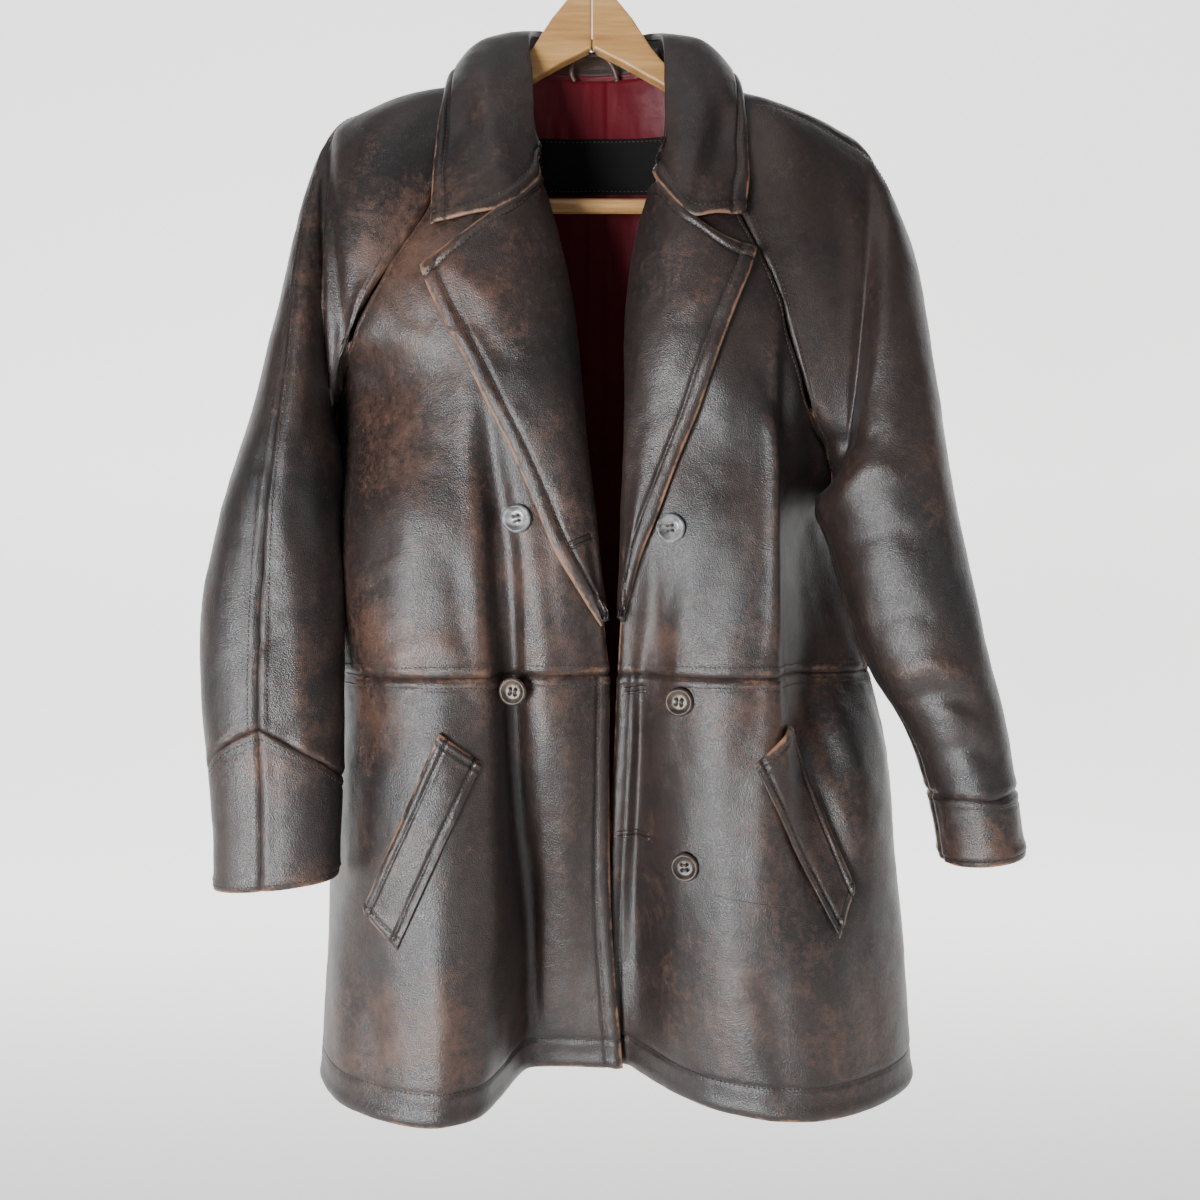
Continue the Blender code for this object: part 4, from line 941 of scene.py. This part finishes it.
gorge = {
    "right": [(-43, -256), (-59, -278), (-75, -290)],
    "left": [(55, -260), (69, -283), (81, -296)],
}
collarEnd = {"right": [(-100, -296), (-129, -301)], "left": [(101, -293), (125, -290)]}
lapelTop = {"right": [(-105, -313), (-137, -336)], "left": [(105, -313), (133, -321)]}
collarStations = [
    ((-46, -61, -223), (-131, -74, -262), 8),
    ((-50, -52, -196), (-129, -60, -224), 11),
    ((-53, -32, -152), (-127, -46, -184), 14),
    ((-57, -8, -106), (-127, -8, -143), 13),
    ((-50, 22, -86), (-111, 24, -139), 12),
    ((-26, 38, -82), (-58, 59, -150), 10),
    ((2, 42, -81), (3, 65, -154), 10),
    ((30, 38, -82), (64, 59, -151), 10),
    ((56, 22, -88), (113, 24, -142), 12),
    ((64, -8, -108), (129, -8, -147), 13),
    ((65, -33, -160), (130, -46, -190), 14),
    ((62, -56, -212), (130, -64, -230), 11),
    ((58, -62, -236), (129, -76, -260), 8),
]
collarSpread = (0.12, 0.3, 0.5, 0.75, 1.0)
collarLift = 6.5
standTop = [(-50, 12, -104), (-44, 22, -97), (-25, 31, -92), (2, 34, -91), (30, 31, -92), (51, 22, -99),
             (58, 12, -107)]
standBase = [(-62, 13, -118), (-49, 22, -118.5), (-27, 29.5, -119.7), (1, 31.8, -120.5), (29, 29.5, -119.7),
              (54, 22, -118.8), (66, 13, -119)]
lapelRows = {
    "right": [(2.45, -129, -357), (3.1, -114, -387), (3.75, -98, -416), (4.4, -82, -449), (5.0, -66, -480),
              (5.5, -48, -520), (6.0, -30, -563), (6.7, -12, -593), (7.4, 8, -627)],
    "left": [(2.25, 127, -340), (2.9, 118, -362), (3.5, 107, -390), (4.0, 96, -420), (4.6, 84, -456),
             (5.2, 69, -492), (5.8, 52, -538), (6.5, 39, -572), (7.3, 26, -624)],
}
gorgeRow = {"right": 1.8, "left": 1.68}
lapelSpread = (0.10, 0.3, 0.52, 0.76, 1.0)
lapelLift = (6.5, 9.0, 9.0, 8.0, 7.0)
rollRadius = 3.4
leafLook = {"alongCollar": 210, "acrossCollar": 88, "alongLapel": 130, "acrossLapel": 96, "thickness": 2.2,
            "stitch": 12.5, "standRows": 8, "standColumns": 70, "collarOpen": 15, "lapelOpen": 61}


def rollPoint(side, place):
    return spline(np.array(neckAndRoll[side] + [vPoint[side]], float), place)[0]


def gorgeLine(side, freeEdge):
    return [draped(frontTree, x, z, lift) for (x, z), lift in zip(gorge[side] + freeEdge, lapelLift)]


def lapelGrid(side):
    inward = 1 if side == "right" else -1
    net = []
    for place, x, z in [(gorgeRow[side], None, None)] + lapelRows[side]:
        roll = rollPoint(side, place)
        line = [roll + (-inward * 16, 11.0, 0), roll + (-inward * 3, 7.0, 0),
                roll + (inward * rollRadius, 1.0, 0), roll + (inward * 1.6, -4.4, 0)]
        if x is None:
            for spot in line:
                spot[2] -= 3.5
            line += gorgeLine(side, lapelTop[side])
        else:
            for share, lift in zip(lapelSpread, lapelLift):
                across, down = roll[0] + (x - roll[0]) * share, roll[2] + (z - roll[2]) * share
                line.append(draped(frontTree, across, down, lift))
        net.append(line)
    grid = netPoints(np.array(net), steps(0, 1, leafLook["acrossLapel"]),
                     steps(0, len(net) - 1, leafLook["alongLapel"]))
    return grid if side == "left" else grid[:, ::-1]


def above(point, lift):
    point = np.array(point, float)
    if point[1] < 34:
        hit = upperTree.ray_cast((point[0], point[1], 0.0), (0.0, 0.0, -1.0))[0]
        if hit is not None and abs(point[0]) < 150 and hit[2] > -175:
            point[2] = max(point[2], hit[2] + lift)
    if point[1] < 0:
        hit = upperTree.ray_cast((point[0], -400.0, point[2]), (0.0, 1.0, 0.0))[0]
        if hit is not None:
            point[1] = min(point[1], hit[1] - lift)
    return point


def collarEnding(side):
    inward = 1 if side == "right" else -1
    roll = rollPoint(side, gorgeRow[side])
    line = [roll + (inward * rollRadius, 1.0, 8), roll + (inward * 1.6, -4.4, 5.0)]
    return line + gorgeLine(side, collarEnd[side])


def collarGrid():
    rows = [collarEnding("right")]
    for roll, edge, bow in collarStations:
        roll, edge = np.array(roll, float), np.array(edge, float)
        out = np.array([edge[0] - roll[0], edge[1] - roll[1], 0])
        out = out / np.linalg.norm(out) + (0, 0, 0.8)
        line = [roll + (roll - edge) * (0.03, -0.02, 0) + (0, 0, -4.5), roll + (0, 0, 0.8)]
        for share in collarSpread:
            spot = roll * (1 - share) + edge * share + out * bow * math.sin(math.pi * share**0.8)
            line.append(above(spot, collarLift))
        rows.append(line)
    net = np.array(rows + [collarEnding("left")])
    return netPoints(net, steps(0, 1, leafLook["acrossCollar"]),
                     steps(0, len(net) - 1, leafLook["alongCollar"]))


collarCreases = [
    ([(-112, -190), (-100, -215), (-92, -250)], 9, -1.8),
    ([(-84, -150), (-96, -190), (-104, -230)], 11, 1.6),
    ([(112, -190), (104, -220), (98, -255)], 9, -1.6), ([(84, -150), (94, -190), (96, -230)], 11, 1.4),
    ([(-70, -240), (-90, -262), (-118, -272)], 8, 1.2), ([(70, -245), (92, -262), (116, -268)], 8, 1.2),
]
lapelCreases = [
    ([(-120, -330), (-96, -352), (-70, -372)], 9, 1.6), ([(-104, -368), (-80, -400), (-60, -420)], 9, -1.8),
    ([(-88, -430), (-66, -455), (-44, -470)], 9, 1.4), ([(-58, -492), (-40, -520), (-24, -540)], 8, -1.4),
    ([(118, -330), (96, -355), (76, -372)], 9, 1.5), ([(104, -375), (86, -402), (68, -424)], 9, -1.7),
    ([(84, -440), (66, -462), (52, -482)], 9, 1.4), ([(60, -505), (48, -530), (38, -550)], 8, -1.3),
]


def addLeaf(name, grid, normal, creases, stitches, edges, seams=()):
    shaped, wear, rub = dressed(grid, normal, seams, creases, stitches, edges, 7)
    shape = shell(name + "_leather", shaped, normal, leafLook["thickness"], leather, wear, rub)
    asCloth(shape, [name])
    dressedGrids[name] = shaped
    return shaped


distance = leafLook["stitch"]
grid = collarGrid()
normal = gridNormals(grid)
normal[0, leafLook["collarOpen"]:] = normal[-1, leafLook["collarOpen"]:] = (0, -1, 0)
shaped = addLeaf("collar", grid, normal, collarCreases, (("right", distance), ("top", 11), ("bottom", 11)),
                 ("right", "top", "bottom"))
sew(shaped, normal, "right", distance)
sew(shaped, normal, "top", 11, 0.25, 1)
sew(shaped, normal, "bottom", 11, 0.25, 1)
for side in sides:
    grid = lapelGrid(side)
    normal = gridNormals(grid)
    outer = "right" if side == "left" else "left"
    openPart = slice(leafLook["lapelOpen"], None) if side == "left" else slice(None, -leafLook["lapelOpen"])
    normal[0, openPart] = (0, -1, 0)
    shaped = addLeaf("lapel_" + side, grid, normal, lapelCreases, ((outer, distance), ("top", 11)),
                     (outer, "top"))
    sew(shaped, normal, outer, distance, 0.04, 0.98)
    sew(shaped, normal, "top", 11, *((0.5, 1) if side == "left" else (0, 0.5)))

base, top = np.array(standBase, float), np.array(standTop, float)
along = steps(0, len(base) - 1, leafLook["standColumns"])
low, high = spline(base, along), spline(top, along)
grid = np.array([high + (low - high) * share for share in steps(0, 1, leafLook["standRows"])])
normal = gridNormals(grid)
shaped, wear, rub = dressed(grid, normal, ("top",), (), (("bottom", 3),), (), 9)
shape = shell("collar_stand_leather", shaped, normal, 1.5, leather, wear * 0.4, rub)
asCloth(shape, ["collar_stand"])
print("collar and lapels ready")


# Slanted pocket welts, and the facings behind the front edges

pocketCorners = {
    "right": [(-121, -711), (-88, -736), (-156, -884), (-187, -857)],
    "left": [(165, -706), (131, -736), (203, -879), (219, -843)],
}
pocketLift = {"right": (4.9, 2.8), "left": (6.0, 4.8)}
facingBehind = leatherWall + 0.5
facingColumns = 21
pocketLook = {"rows": 120, "columns": 44, "thickness": 2.2, "stitch": 8.0}


def pocketGrid(side):
    top, topInner, lowInner, low = [np.array(corner, float) for corner in pocketCorners[side]]
    free, sewn = pocketLift[side]
    rows = []
    for down in steps(0, 1, 14):
        outerSpot, innerSpot = top * (1 - down) + low * down, topInner * (1 - down) + lowInner * down
        rows.append([draped(frontTree, *(outerSpot * (1 - share) + innerSpot * share),
                            free + (sewn - free) * share)
                     for share in steps(0, 1, 5)])
    net = np.array(rows)
    grid = netPoints(net, steps(0, 1, pocketLook["columns"]), steps(0, 14, pocketLook["rows"]))
    return grid if side == "right" else grid[:, ::-1]


for side in sides:
    grid = pocketGrid(side)
    normal = gridNormals(grid)
    free, sewn = ("left", "right") if side == "right" else ("right", "left")
    stitches = ((free, pocketLook["stitch"]), (sewn, 7), ("top", 7), ("bottom", 7))
    shaped, wear, rub = dressed(grid, normal, (), (), stitches, (free, "top", "bottom"), 11)
    shape = shell("pocket_welt_" + side + "_leather", shaped, normal, pocketLook["thickness"], leather,
                  wear, rub)
    asCloth(shape, ["pocket_welt_" + side])
    for border, away in stitches:
        sew(shaped, normal, border, away)

    panel = panels["front_lower_" + side]
    grid = panel - gridNormals(panel) * facingBehind
    near = slice(-facingColumns, None) if side == "right" else slice(0, facingColumns)
    grid, normal = grid[2:-2, near], gridNormals(panel)[2:-2, near]
    nothing = np.zeros(grid.shape[:2])
    asCloth(shell("facing_" + side + "_leather", grid, normal, 1.5, paleLeather, nothing, nothing + 0.3),
            ["facing_" + side])
print("pockets ready")


# The satin back lining with its middle pleat, the collar's label and the hanging loop

liningBehind = 5.0
liningRows = (0.12, 10.6)
labelBox = (-50, 66, -226, -178)
labelLift = 3.0
loopRoute = [(-16, 24.2, -129), (-19, 22.5, -122), (-17, 20, -114), (-9, 19, -109), (1, 19, -108),
              (10, 19, -109), (17, 20, -115), (21, 22.5, -122), (23, 24.2, -129)]
liningLook = {"rows": 150, "columns": 110, "thickness": 1.0, "gather": 0.9, "pleat": 5.0}
grid = netPoints(backNet(), steps(0.93, 0.07, 14), steps(*liningRows, 16))
grid = grid - gridNormals(grid) * liningBehind
deeper = np.linspace(0.2, 1, len(grid))[:, None]
grid[:, :, 1] -= liningLook["pleat"] * np.exp(-(((grid[:, :, 0] - 6) / 12) ** 2)) * deeper
liningTree = surfaceTree([grid])
grid = netPoints(grid, steps(0, 1, liningLook["columns"]), steps(0, 16, liningLook["rows"]))
normal = gridNormals(grid)
gathers = (softNoise(grid * (1, 1, 0.16), 7.5, 21) * liningLook["gather"]
           + softNoise(grid * (1, 1, 0.5), 30, 22) * 1.2)
crisp = (np.exp(-(((grid[:, :, 0] - 14) / 2.2) ** 2)) * 1.6
         - np.exp(-(((grid[:, :, 0] + 3) / 2.0) ** 2)) * 1.2)
grid = grid + normal * np.clip(gathers + crisp * 0.8, -1.8, 1.8)[..., None]
nothing = np.zeros(grid.shape[:2])
shape = shell("back_lining_satin", grid, normal, liningLook["thickness"], satin, nothing, nothing)
asCloth(shape, ["lining_back"])

left, right, low, high = labelBox
net = np.array([[draped(liningTree, x, z, labelLift) for x in steps(left, right, 10)]
                for z in steps(high, low, 4)])
grid = netPoints(net, steps(0, 1, 60), steps(0, 4, 26))
normal = gridNormals(grid)
grid = grid + normal * (softNoise(grid, 22, 31) * 0.5)[..., None]
nothing = np.zeros(grid.shape[:2])
asCloth(shell("neck_label_cloth", grid, normal, 1.0, labelCloth, nothing, nothing),
        ["neck_label"])
for border in everySeam:
    sew(grid, normal, border, 2.5)


def ringFaces(rings, around):
    # quads between rings of points that follow one another
    faces = []
    for ring in range(rings - 1):
        for step in range(around):
            here, after = ring * around + step, ring * around + (step + 1) % around
            faces.append((here, after, after + around, here + around))
    return faces


def endFans(rings, around):
    # triangles from the two points after the last ring to the first ring and to the last one
    first, faces = rings * around, []
    for step in range(around):
        after = (step + 1) % around
        faces += [(first, step, after), (first + 1, first - around + after, first - around + step)]
    return faces


def tube(name, route, radius, material, around=12, flatness=1.0):
    # a round or flattened cord along a route of points
    route = np.asarray(route, float)
    ahead = np.gradient(route, axis=0)
    ahead /= np.linalg.norm(ahead, axis=1, keepdims=True)
    side = np.cross(ahead, (0, 1, 0.0001))
    side /= np.maximum(np.linalg.norm(side, axis=1, keepdims=True), 1e-9)
    front = np.cross(side, ahead)
    angle = np.linspace(0, 2 * math.pi, around, endpoint=False)
    rings = (route[:, None] + side[:, None] * (np.cos(angle) * radius)[None, :, None]
             + front[:, None] * (np.sin(angle) * radius * flatness)[None, :, None])
    points = np.concatenate([rings.reshape(-1, 3), route[:1] - ahead[:1] * radius * 0.5,
                             route[-1:] + ahead[-1:] * radius * 0.5])
    return putMesh(name, points, ringFaces(len(route), around) + endFans(len(route), around), material)


def outwards(shape):
    work = bmesh.new()
    work.from_mesh(shape.data)
    bmesh.ops.recalc_face_normals(work, faces=work.faces)
    work.to_mesh(shape.data)
    work.free()
    return shape


# the hook's riveted end, in the notch under the wood
rivet = [(0.02, -113.7), (3.1, -113.9), (3.4, -114.6), (3.3, -116.4), (2.3, -117.4), (0.9, -117.9),
         (0.02, -118.0)]
rivetRings, rivetAround = 31, 40
line = spline(rivet, steps(0, len(rivet) - 1, rivetRings - 1))
angle = np.linspace(0, 2 * math.pi, rivetAround, endpoint=False)
points = np.stack([line[:, :1] * np.cos(angle), line[:, :1] * np.sin(angle),
                   np.repeat(line[:, 1:], rivetAround, axis=1)], axis=2)
lastRing = (rivetRings - 1) * rivetAround
faces = ringFaces(rivetRings, rivetAround)
faces += [tuple(range(rivetAround)), tuple(range(lastRing + rivetAround - 1, lastRing - 1, -1))]
rivetPiece = outwards(putMesh("hook_rivet", points.reshape(-1, 3), faces, steel))
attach(rivetPiece, "root")

route = spline(loopRoute, steps(0, len(loopRoute) - 1, 70))
loop = outwards(tube("hanging_loop_leather", route, 2.1, paleLeather, 14, 0.7))
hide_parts("hanger_loop")
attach(loop, "root")
print("lining ready")


# Buttons: turned horn with a raised rim, four holes and two bars of thread

buttons = (
    ("button_right_chest", -60, -538),
    ("button_right_waist", -64, -679),
    ("button_left_chest", 64, -546),
    ("button_left_waist", 72, -687),
    ("button_left_skirt", 77, -823),
)
buttonRadius = 11.5
buttonHeight = 4.0
buttonProfile = ((0, 0.55), (0.42, 0.50), (0.62, 0.62), (0.8, 0.98), (0.9, 1.0), (1.0, 0.72), (1.0, 0.35),
                  (0.72, 0.0), (0, 0.0))
buttonLook = {"rings": 46, "around": 96, "holeAway": 2.5, "holeRadius": 1.0, "holeDepth": 1.7,
              "threadRadius": 0.42,
              "grey": ("button_right_chest", "button_left_chest")}


def buttonSeat(x, z):
    # where the button lies and how it leans, found as for its solid
    hit, normal, _, _ = frontTree.ray_cast((x, -400.0, z), (0.0, 1.0, 0.0))
    out = np.array(-normal if normal[1] > 0 else normal) * (0.35, 1, 0.35)
    out /= np.linalg.norm(out)
    right = np.cross(out, (0, 0, 1.0))
    right /= np.linalg.norm(right)
    up = np.cross(right, out)
    seat = np.array(hit) + out * 0.8
    sunk = 0.0
    for radius, height in ((0.3, 0), (0.74, 0), (1, 0.3)):
        for angle in 2 * math.pi * np.arange(20) / 20:
            around = right * math.cos(angle) + up * math.sin(angle)
            rim = seat + around * radius * buttonRadius + out * height * buttonHeight
            cloth = frontTree.ray_cast((rim[0], -400.0, rim[2]), (0.0, 1.0, 0.0))[0]
            sunk = max(sunk, rim[1] - cloth[1] + 0.7)
    return seat - (0, sunk, 0), out, right, up


def addButton(name, x, z, turn):
    look = buttonLook
    seat, out, right, up = buttonSeat(x, z)
    profile = np.array(buttonProfile) * (buttonRadius, buttonHeight)
    line = spline(profile, steps(0.02, len(profile) - 1, look["rings"]))
    line[:, 0] = np.maximum(line[:, 0], 0)
    angle = np.linspace(0, 2 * math.pi, look["around"], endpoint=False)
    across, upward = line[:, :1] * np.cos(angle), line[:, :1] * np.sin(angle)
    raised = np.repeat(line[:, 1:], len(angle), axis=1)
    face = np.arange(len(line))[:, None] < look["rings"] * 0.5
    for cornerX in (-1, 1):
        for cornerZ in (-1, 1):
            gap = np.hypot(across - cornerX * look["holeAway"] / 1.2,
                           upward - cornerZ * look["holeAway"] / 1.2)
            hole = look["holeDepth"] / (1 + np.exp((gap - look["holeRadius"]) * 7))
            raised = raised - np.where(face, hole, 0)
    spun = (across * math.cos(turn) - upward * math.sin(turn),
            across * math.sin(turn) + upward * math.cos(turn))
    points = seat + right * spun[0][..., None] + up * spun[1][..., None] + out * raised[..., None]
    points = np.concatenate([points.reshape(-1, 3), [seat + out * line[0, 1], seat + out * line[-1, 1]]])
    faces = [(a, d, c, b) for a, b, c, d in ringFaces(len(line), look["around"])]
    faces += endFans(len(line), look["around"])
    shape = putMesh(name + "_horn", points, faces, greyHorn if name in look["grey"] else brownHorn)
    outwards(shape)
    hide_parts(name)
    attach(shape, "root")
    spunUp = up * math.cos(turn) - right * math.sin(turn)
    spunRight = right * math.cos(turn) + up * math.sin(turn)
    bars = []
    reach = look["holeAway"] / 1.2
    for cornerX in (-1, 1):
        for strand in (-0.5, 0.0, 0.5):
            start = seat + spunRight * (cornerX * reach + strand) + out * (0.52 * buttonHeight)
            route = []
            for along in steps(-1, 1, 10):
                arch = 0.75 * (1 - abs(along) ** 3) - (1.2 if abs(along) > 0.95 else 0)
                route.append(start + spunUp * reach * along + out * arch)
            bars.append(tube(name + "_thread", route, look["threadRadius"], brownThread, 8))
    joinInto(bars, name + "_thread")


def joinInto(shapes, name):
    points, faces, base = [], [], 0
    for shape in shapes:
        points += [tuple(np.array(vertex.co) / mm) for vertex in shape.data.vertices]
        faces += [tuple(index + base for index in face.vertices) for face in shape.data.polygons]
        base += len(shape.data.vertices)
        material = shape.data.materials[0]
        bpy.data.objects.remove(shape)
    joined = outwards(putMesh(name, points, faces, material))
    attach(joined, "root")


for (name, x, z), turn in zip(buttons, (1.35, 0.15, 1.5, 0.1, 1.45)):
    addButton(name, x, z, turn)
print("buttons ready")


# Bound buttonholes, the scratch on the left front and the seam over the left shoulder, on the dressed leather

coatTree = surfaceTree([dressedGrids[name] for name in panelPieces if "back" not in name])
lapelTree = surfaceTree([dressedGrids["lapel_right"]])
holeLook = {"holes": {"waist_buttonhole": ((28, -681), (46, -679)),
                      "skirt_buttonhole": ((22, -809), (49.5, -807)),
                      "lapel_buttonhole": ((-16.5, -560), (-1.5, -552.5))},
            "lip": 1.5, "lipAway": 1.9, "frameAway": 3.6}
for name, (start, end) in holeLook["holes"].items():
    tree = lapelTree if name.startswith("lapel") else coatTree
    start, end = np.array(start, float), np.array(end, float)
    ahead = (end - start) / np.linalg.norm(end - start)
    square = np.array((-ahead[1], ahead[0]))
    lips = []
    for turn in (-1, 1):
        spots = [start + (end - start) * share + square * turn * holeLook["lipAway"]
                 for share in steps(0, 1, 24)]
        route = [draped(tree, *spot, -0.1) for spot in spots]
        lips.append(tube(name, route, holeLook["lip"], leather, 12, 0.75))
    joinInto(lips, name + "_lips")
    away = holeLook["frameAway"]
    first, last = start - ahead * 2, end + ahead * 2
    corners = [first + square * away, last + square * away, last - square * away, first - square * away]
    for first, last in zip(corners, corners[1:] + corners[:1]):
        stitchLines.append(np.array([draped(tree, *spot, 0.1)
                                     for spot in lerp(first, last, steps(0, 1, 12))]))
print("buttonholes ready")

scratchLook = {"route": [(100, -843), (121.8, -846), (138.3, -848), (153, -849.3), (158, -851),
                         (163, -854.5)], "radius": 0.55}
route = [draped(coatTree, x, z, -0.16) for x, z in spline(scratchLook["route"], steps(0, 5, 80))]
scratch = outwards(tube("front_scratch", route, scratchLook["radius"], brownThread, 8, 0.6))
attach(scratch, "root")
shoulderSeam = [(138, -180), (170, -190), (194.5, -203.7), (214.5, -213.4), (234.6, -224.7), (247, -242),
                (253, -262)]
stitchLines.append(np.array([draped(coatTree, x, z, 0.1) for x, z in spline(shoulderSeam, steps(0, 6, 90))]))


# Stitches along every sewn line, spread by geometry nodes

stitchLook = {"step": 3.9, "length": 2.8, "radius": 0.46}


def stitchTree():
    tree = bpy.data.node_groups.new("stitches along lines", "GeometryNodeTree")
    sockets = {"Geometry": "NodeSocketGeometry", "Step": "NodeSocketFloat",
               "Length": "NodeSocketFloat", "Radius": "NodeSocketFloat"}
    for name, kind in sockets.items():
        tree.interface.new_socket(name, in_out="INPUT", socket_type=kind)
    tree.interface.new_socket("Geometry", in_out="OUTPUT", socket_type="NodeSocketGeometry")
    into, out = tree.nodes.new("NodeGroupInput"), tree.nodes.new("NodeGroupOutput")
    add, link = tree.nodes.new, tree.links.new
    curve, even = add("GeometryNodeMeshToCurve"), add("GeometryNodeResampleCurve")
    even.mode = "LENGTH"
    link(into.outputs["Geometry"], curve.inputs["Mesh"])
    link(curve.outputs["Curve"], even.inputs["Curve"])
    link(into.outputs["Step"], even.inputs["Length"])
    tangent, turned = add("GeometryNodeInputTangent"), add("FunctionNodeAlignRotationToVector")
    turned.axis = "Z"
    link(tangent.outputs[0], turned.inputs["Vector"])
    grain, size = add("GeometryNodeMeshIcoSphere"), add("ShaderNodeCombineXYZ")
    placed = add("GeometryNodeTransform")
    grain.inputs["Subdivisions"].default_value = 1
    grain.inputs["Radius"].default_value = 1.0
    half = add("ShaderNodeMath")
    half.operation = "DIVIDE"
    half.inputs[1].default_value = 2.0
    link(into.outputs["Length"], half.inputs[0])
    link(into.outputs["Radius"], size.inputs[0])
    link(into.outputs["Radius"], size.inputs[1])
    link(half.outputs[0], size.inputs[2])
    link(grain.outputs["Mesh"], placed.inputs["Geometry"])
    link(size.outputs[0], placed.inputs["Scale"])
    spread, real = add("GeometryNodeInstanceOnPoints"), add("GeometryNodeRealizeInstances")
    finish = add("GeometryNodeSetMaterial")
    finish.inputs["Material"].default_value = brownThread
    link(even.outputs["Curve"], spread.inputs["Points"])
    link(placed.outputs["Geometry"], spread.inputs["Instance"])
    link(turned.outputs["Rotation"], spread.inputs["Rotation"])
    link(spread.outputs["Instances"], real.inputs["Geometry"])
    link(real.outputs["Geometry"], finish.inputs["Geometry"])
    link(finish.outputs["Geometry"], out.inputs["Geometry"])
    return tree


def spreadStitches(name, lines, look):
    points, joins = [], []
    for line in lines:
        joins += [(len(points) + number, len(points) + number + 1) for number in range(len(line) - 1)]
        points += (np.asarray(line) * mm).tolist()
    mesh = bpy.data.meshes.new(name)
    mesh.from_pydata(points, joins, [])
    shape = bpy.data.objects.new(name, mesh)
    scene.collection.objects.link(shape)
    modifier = shape.modifiers.new("stitches", "NODES")
    modifier.node_group = stitchTree()
    for item in modifier.node_group.interface.items_tree:
        if item.in_out == "INPUT" and item.name in ("Step", "Length", "Radius"):
            modifier[item.identifier] = look[item.name.lower()] * mm
    made = bpy.data.meshes.new_from_object(shape.evaluated_get(bpy.context.evaluated_depsgraph_get()))
    shape.modifiers.remove(modifier)
    shape.data = made
    made.shade_smooth()
    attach(shape, "root")
    print(name, len(made.polygons), "faces")
    return shape


spreadStitches("coat_stitches", stitchLines, stitchLook)


# Floor, wall and lights

stageLook = {"floor": -1.27, "wall": 2.6, "bend": 1.1, "wide": 6.0, "front": -5.0, "top": 4.2,
             "colour": (0.86, 0.86, 0.85), "glow": 2.1}


def addStage():
    look = stageLook
    profile = [(look["front"], look["floor"]), (look["wall"] - look["bend"], look["floor"])]
    for angle in np.radians(np.arange(6, 91, 6)):
        profile.append((look["wall"] - look["bend"] + look["bend"] * math.sin(angle),
                        look["floor"] + look["bend"] * (1 - math.cos(angle))))
    profile.append((look["wall"], look["top"]))
    points = [(x / mm, y / mm, z / mm) for y, z in profile for x in (-look["wide"], look["wide"])]
    faces = [(2 * n, 2 * n + 1, 2 * n + 3, 2 * n + 2) for n in range(len(profile) - 1)]
    made, tree, shader, place = newMaterial("pale backdrop", look["colour"], 0.75)
    shade = mix(tree, noise(tree, place, 1.4, 3.0), tuple(c * 0.97 for c in look["colour"]), look["colour"])
    tree.links.new(shade, shader.inputs["Base Color"])
    apart = node(tree, "ShaderNodeSeparateXYZ")
    tree.links.new(place, apart.inputs[0])
    behind = node(tree, "ShaderNodeMapRange",
                  {"From Min": -0.3, "From Max": 1.3, "To Min": 0.12, "To Max": 1.0},
                  interpolation_type="SMOOTHSTEP")
    tree.links.new(apart.outputs["Y"], behind.inputs["Value"])
    tree.links.new(maths(tree, "MULTIPLY", behind.outputs[0], look["glow"]),
                   shader.inputs["Emission Strength"])
    shader.inputs["Emission Color"].default_value = (*look["colour"], 1)
    putMesh("backdrop", points, faces, made)


addStage()
world = bpy.data.worlds.new("studio")
scene.world = world
world.use_nodes = True
world.node_tree.nodes["Background"].inputs["Color"].default_value = (0.93, 0.95, 1.0, 1)
world.node_tree.nodes["Background"].inputs["Strength"].default_value = 0.14

lightLook = {"key": ((-1.15, -1.95, -1.10), 0.9, 108, (0.93, 0.97, 1.0)),
             "fill": ((1.9, -1.9, -0.4), 1.2, 4, (0.88, 0.94, 1.0)),
             "top": ((-0.3, -0.6, 1.3), 1.2, 3.5, (1.0, 1.0, 1.0)),
             "rim": ((0.6, 2.0, 0.3), 1.2, 5, (1.0, 1.0, 1.0))}
for name, (place, size, power, colour) in lightLook.items():
    light = bpy.data.lights.new(name, "AREA")
    light.shape = "DISK"
    light.size = size
    light.energy = power
    light.color = colour
    lamp = bpy.data.objects.new(name, light)
    lamp.location = place
    aim = np.array((0.0, 0.0, -0.55)) - place
    lamp.rotation_euler = (math.atan2(math.hypot(aim[0], aim[1]), -aim[2]), 0,
                           math.atan2(aim[0], -aim[1]) + math.pi)
    scene.collection.objects.link(lamp)

print("scene ready")
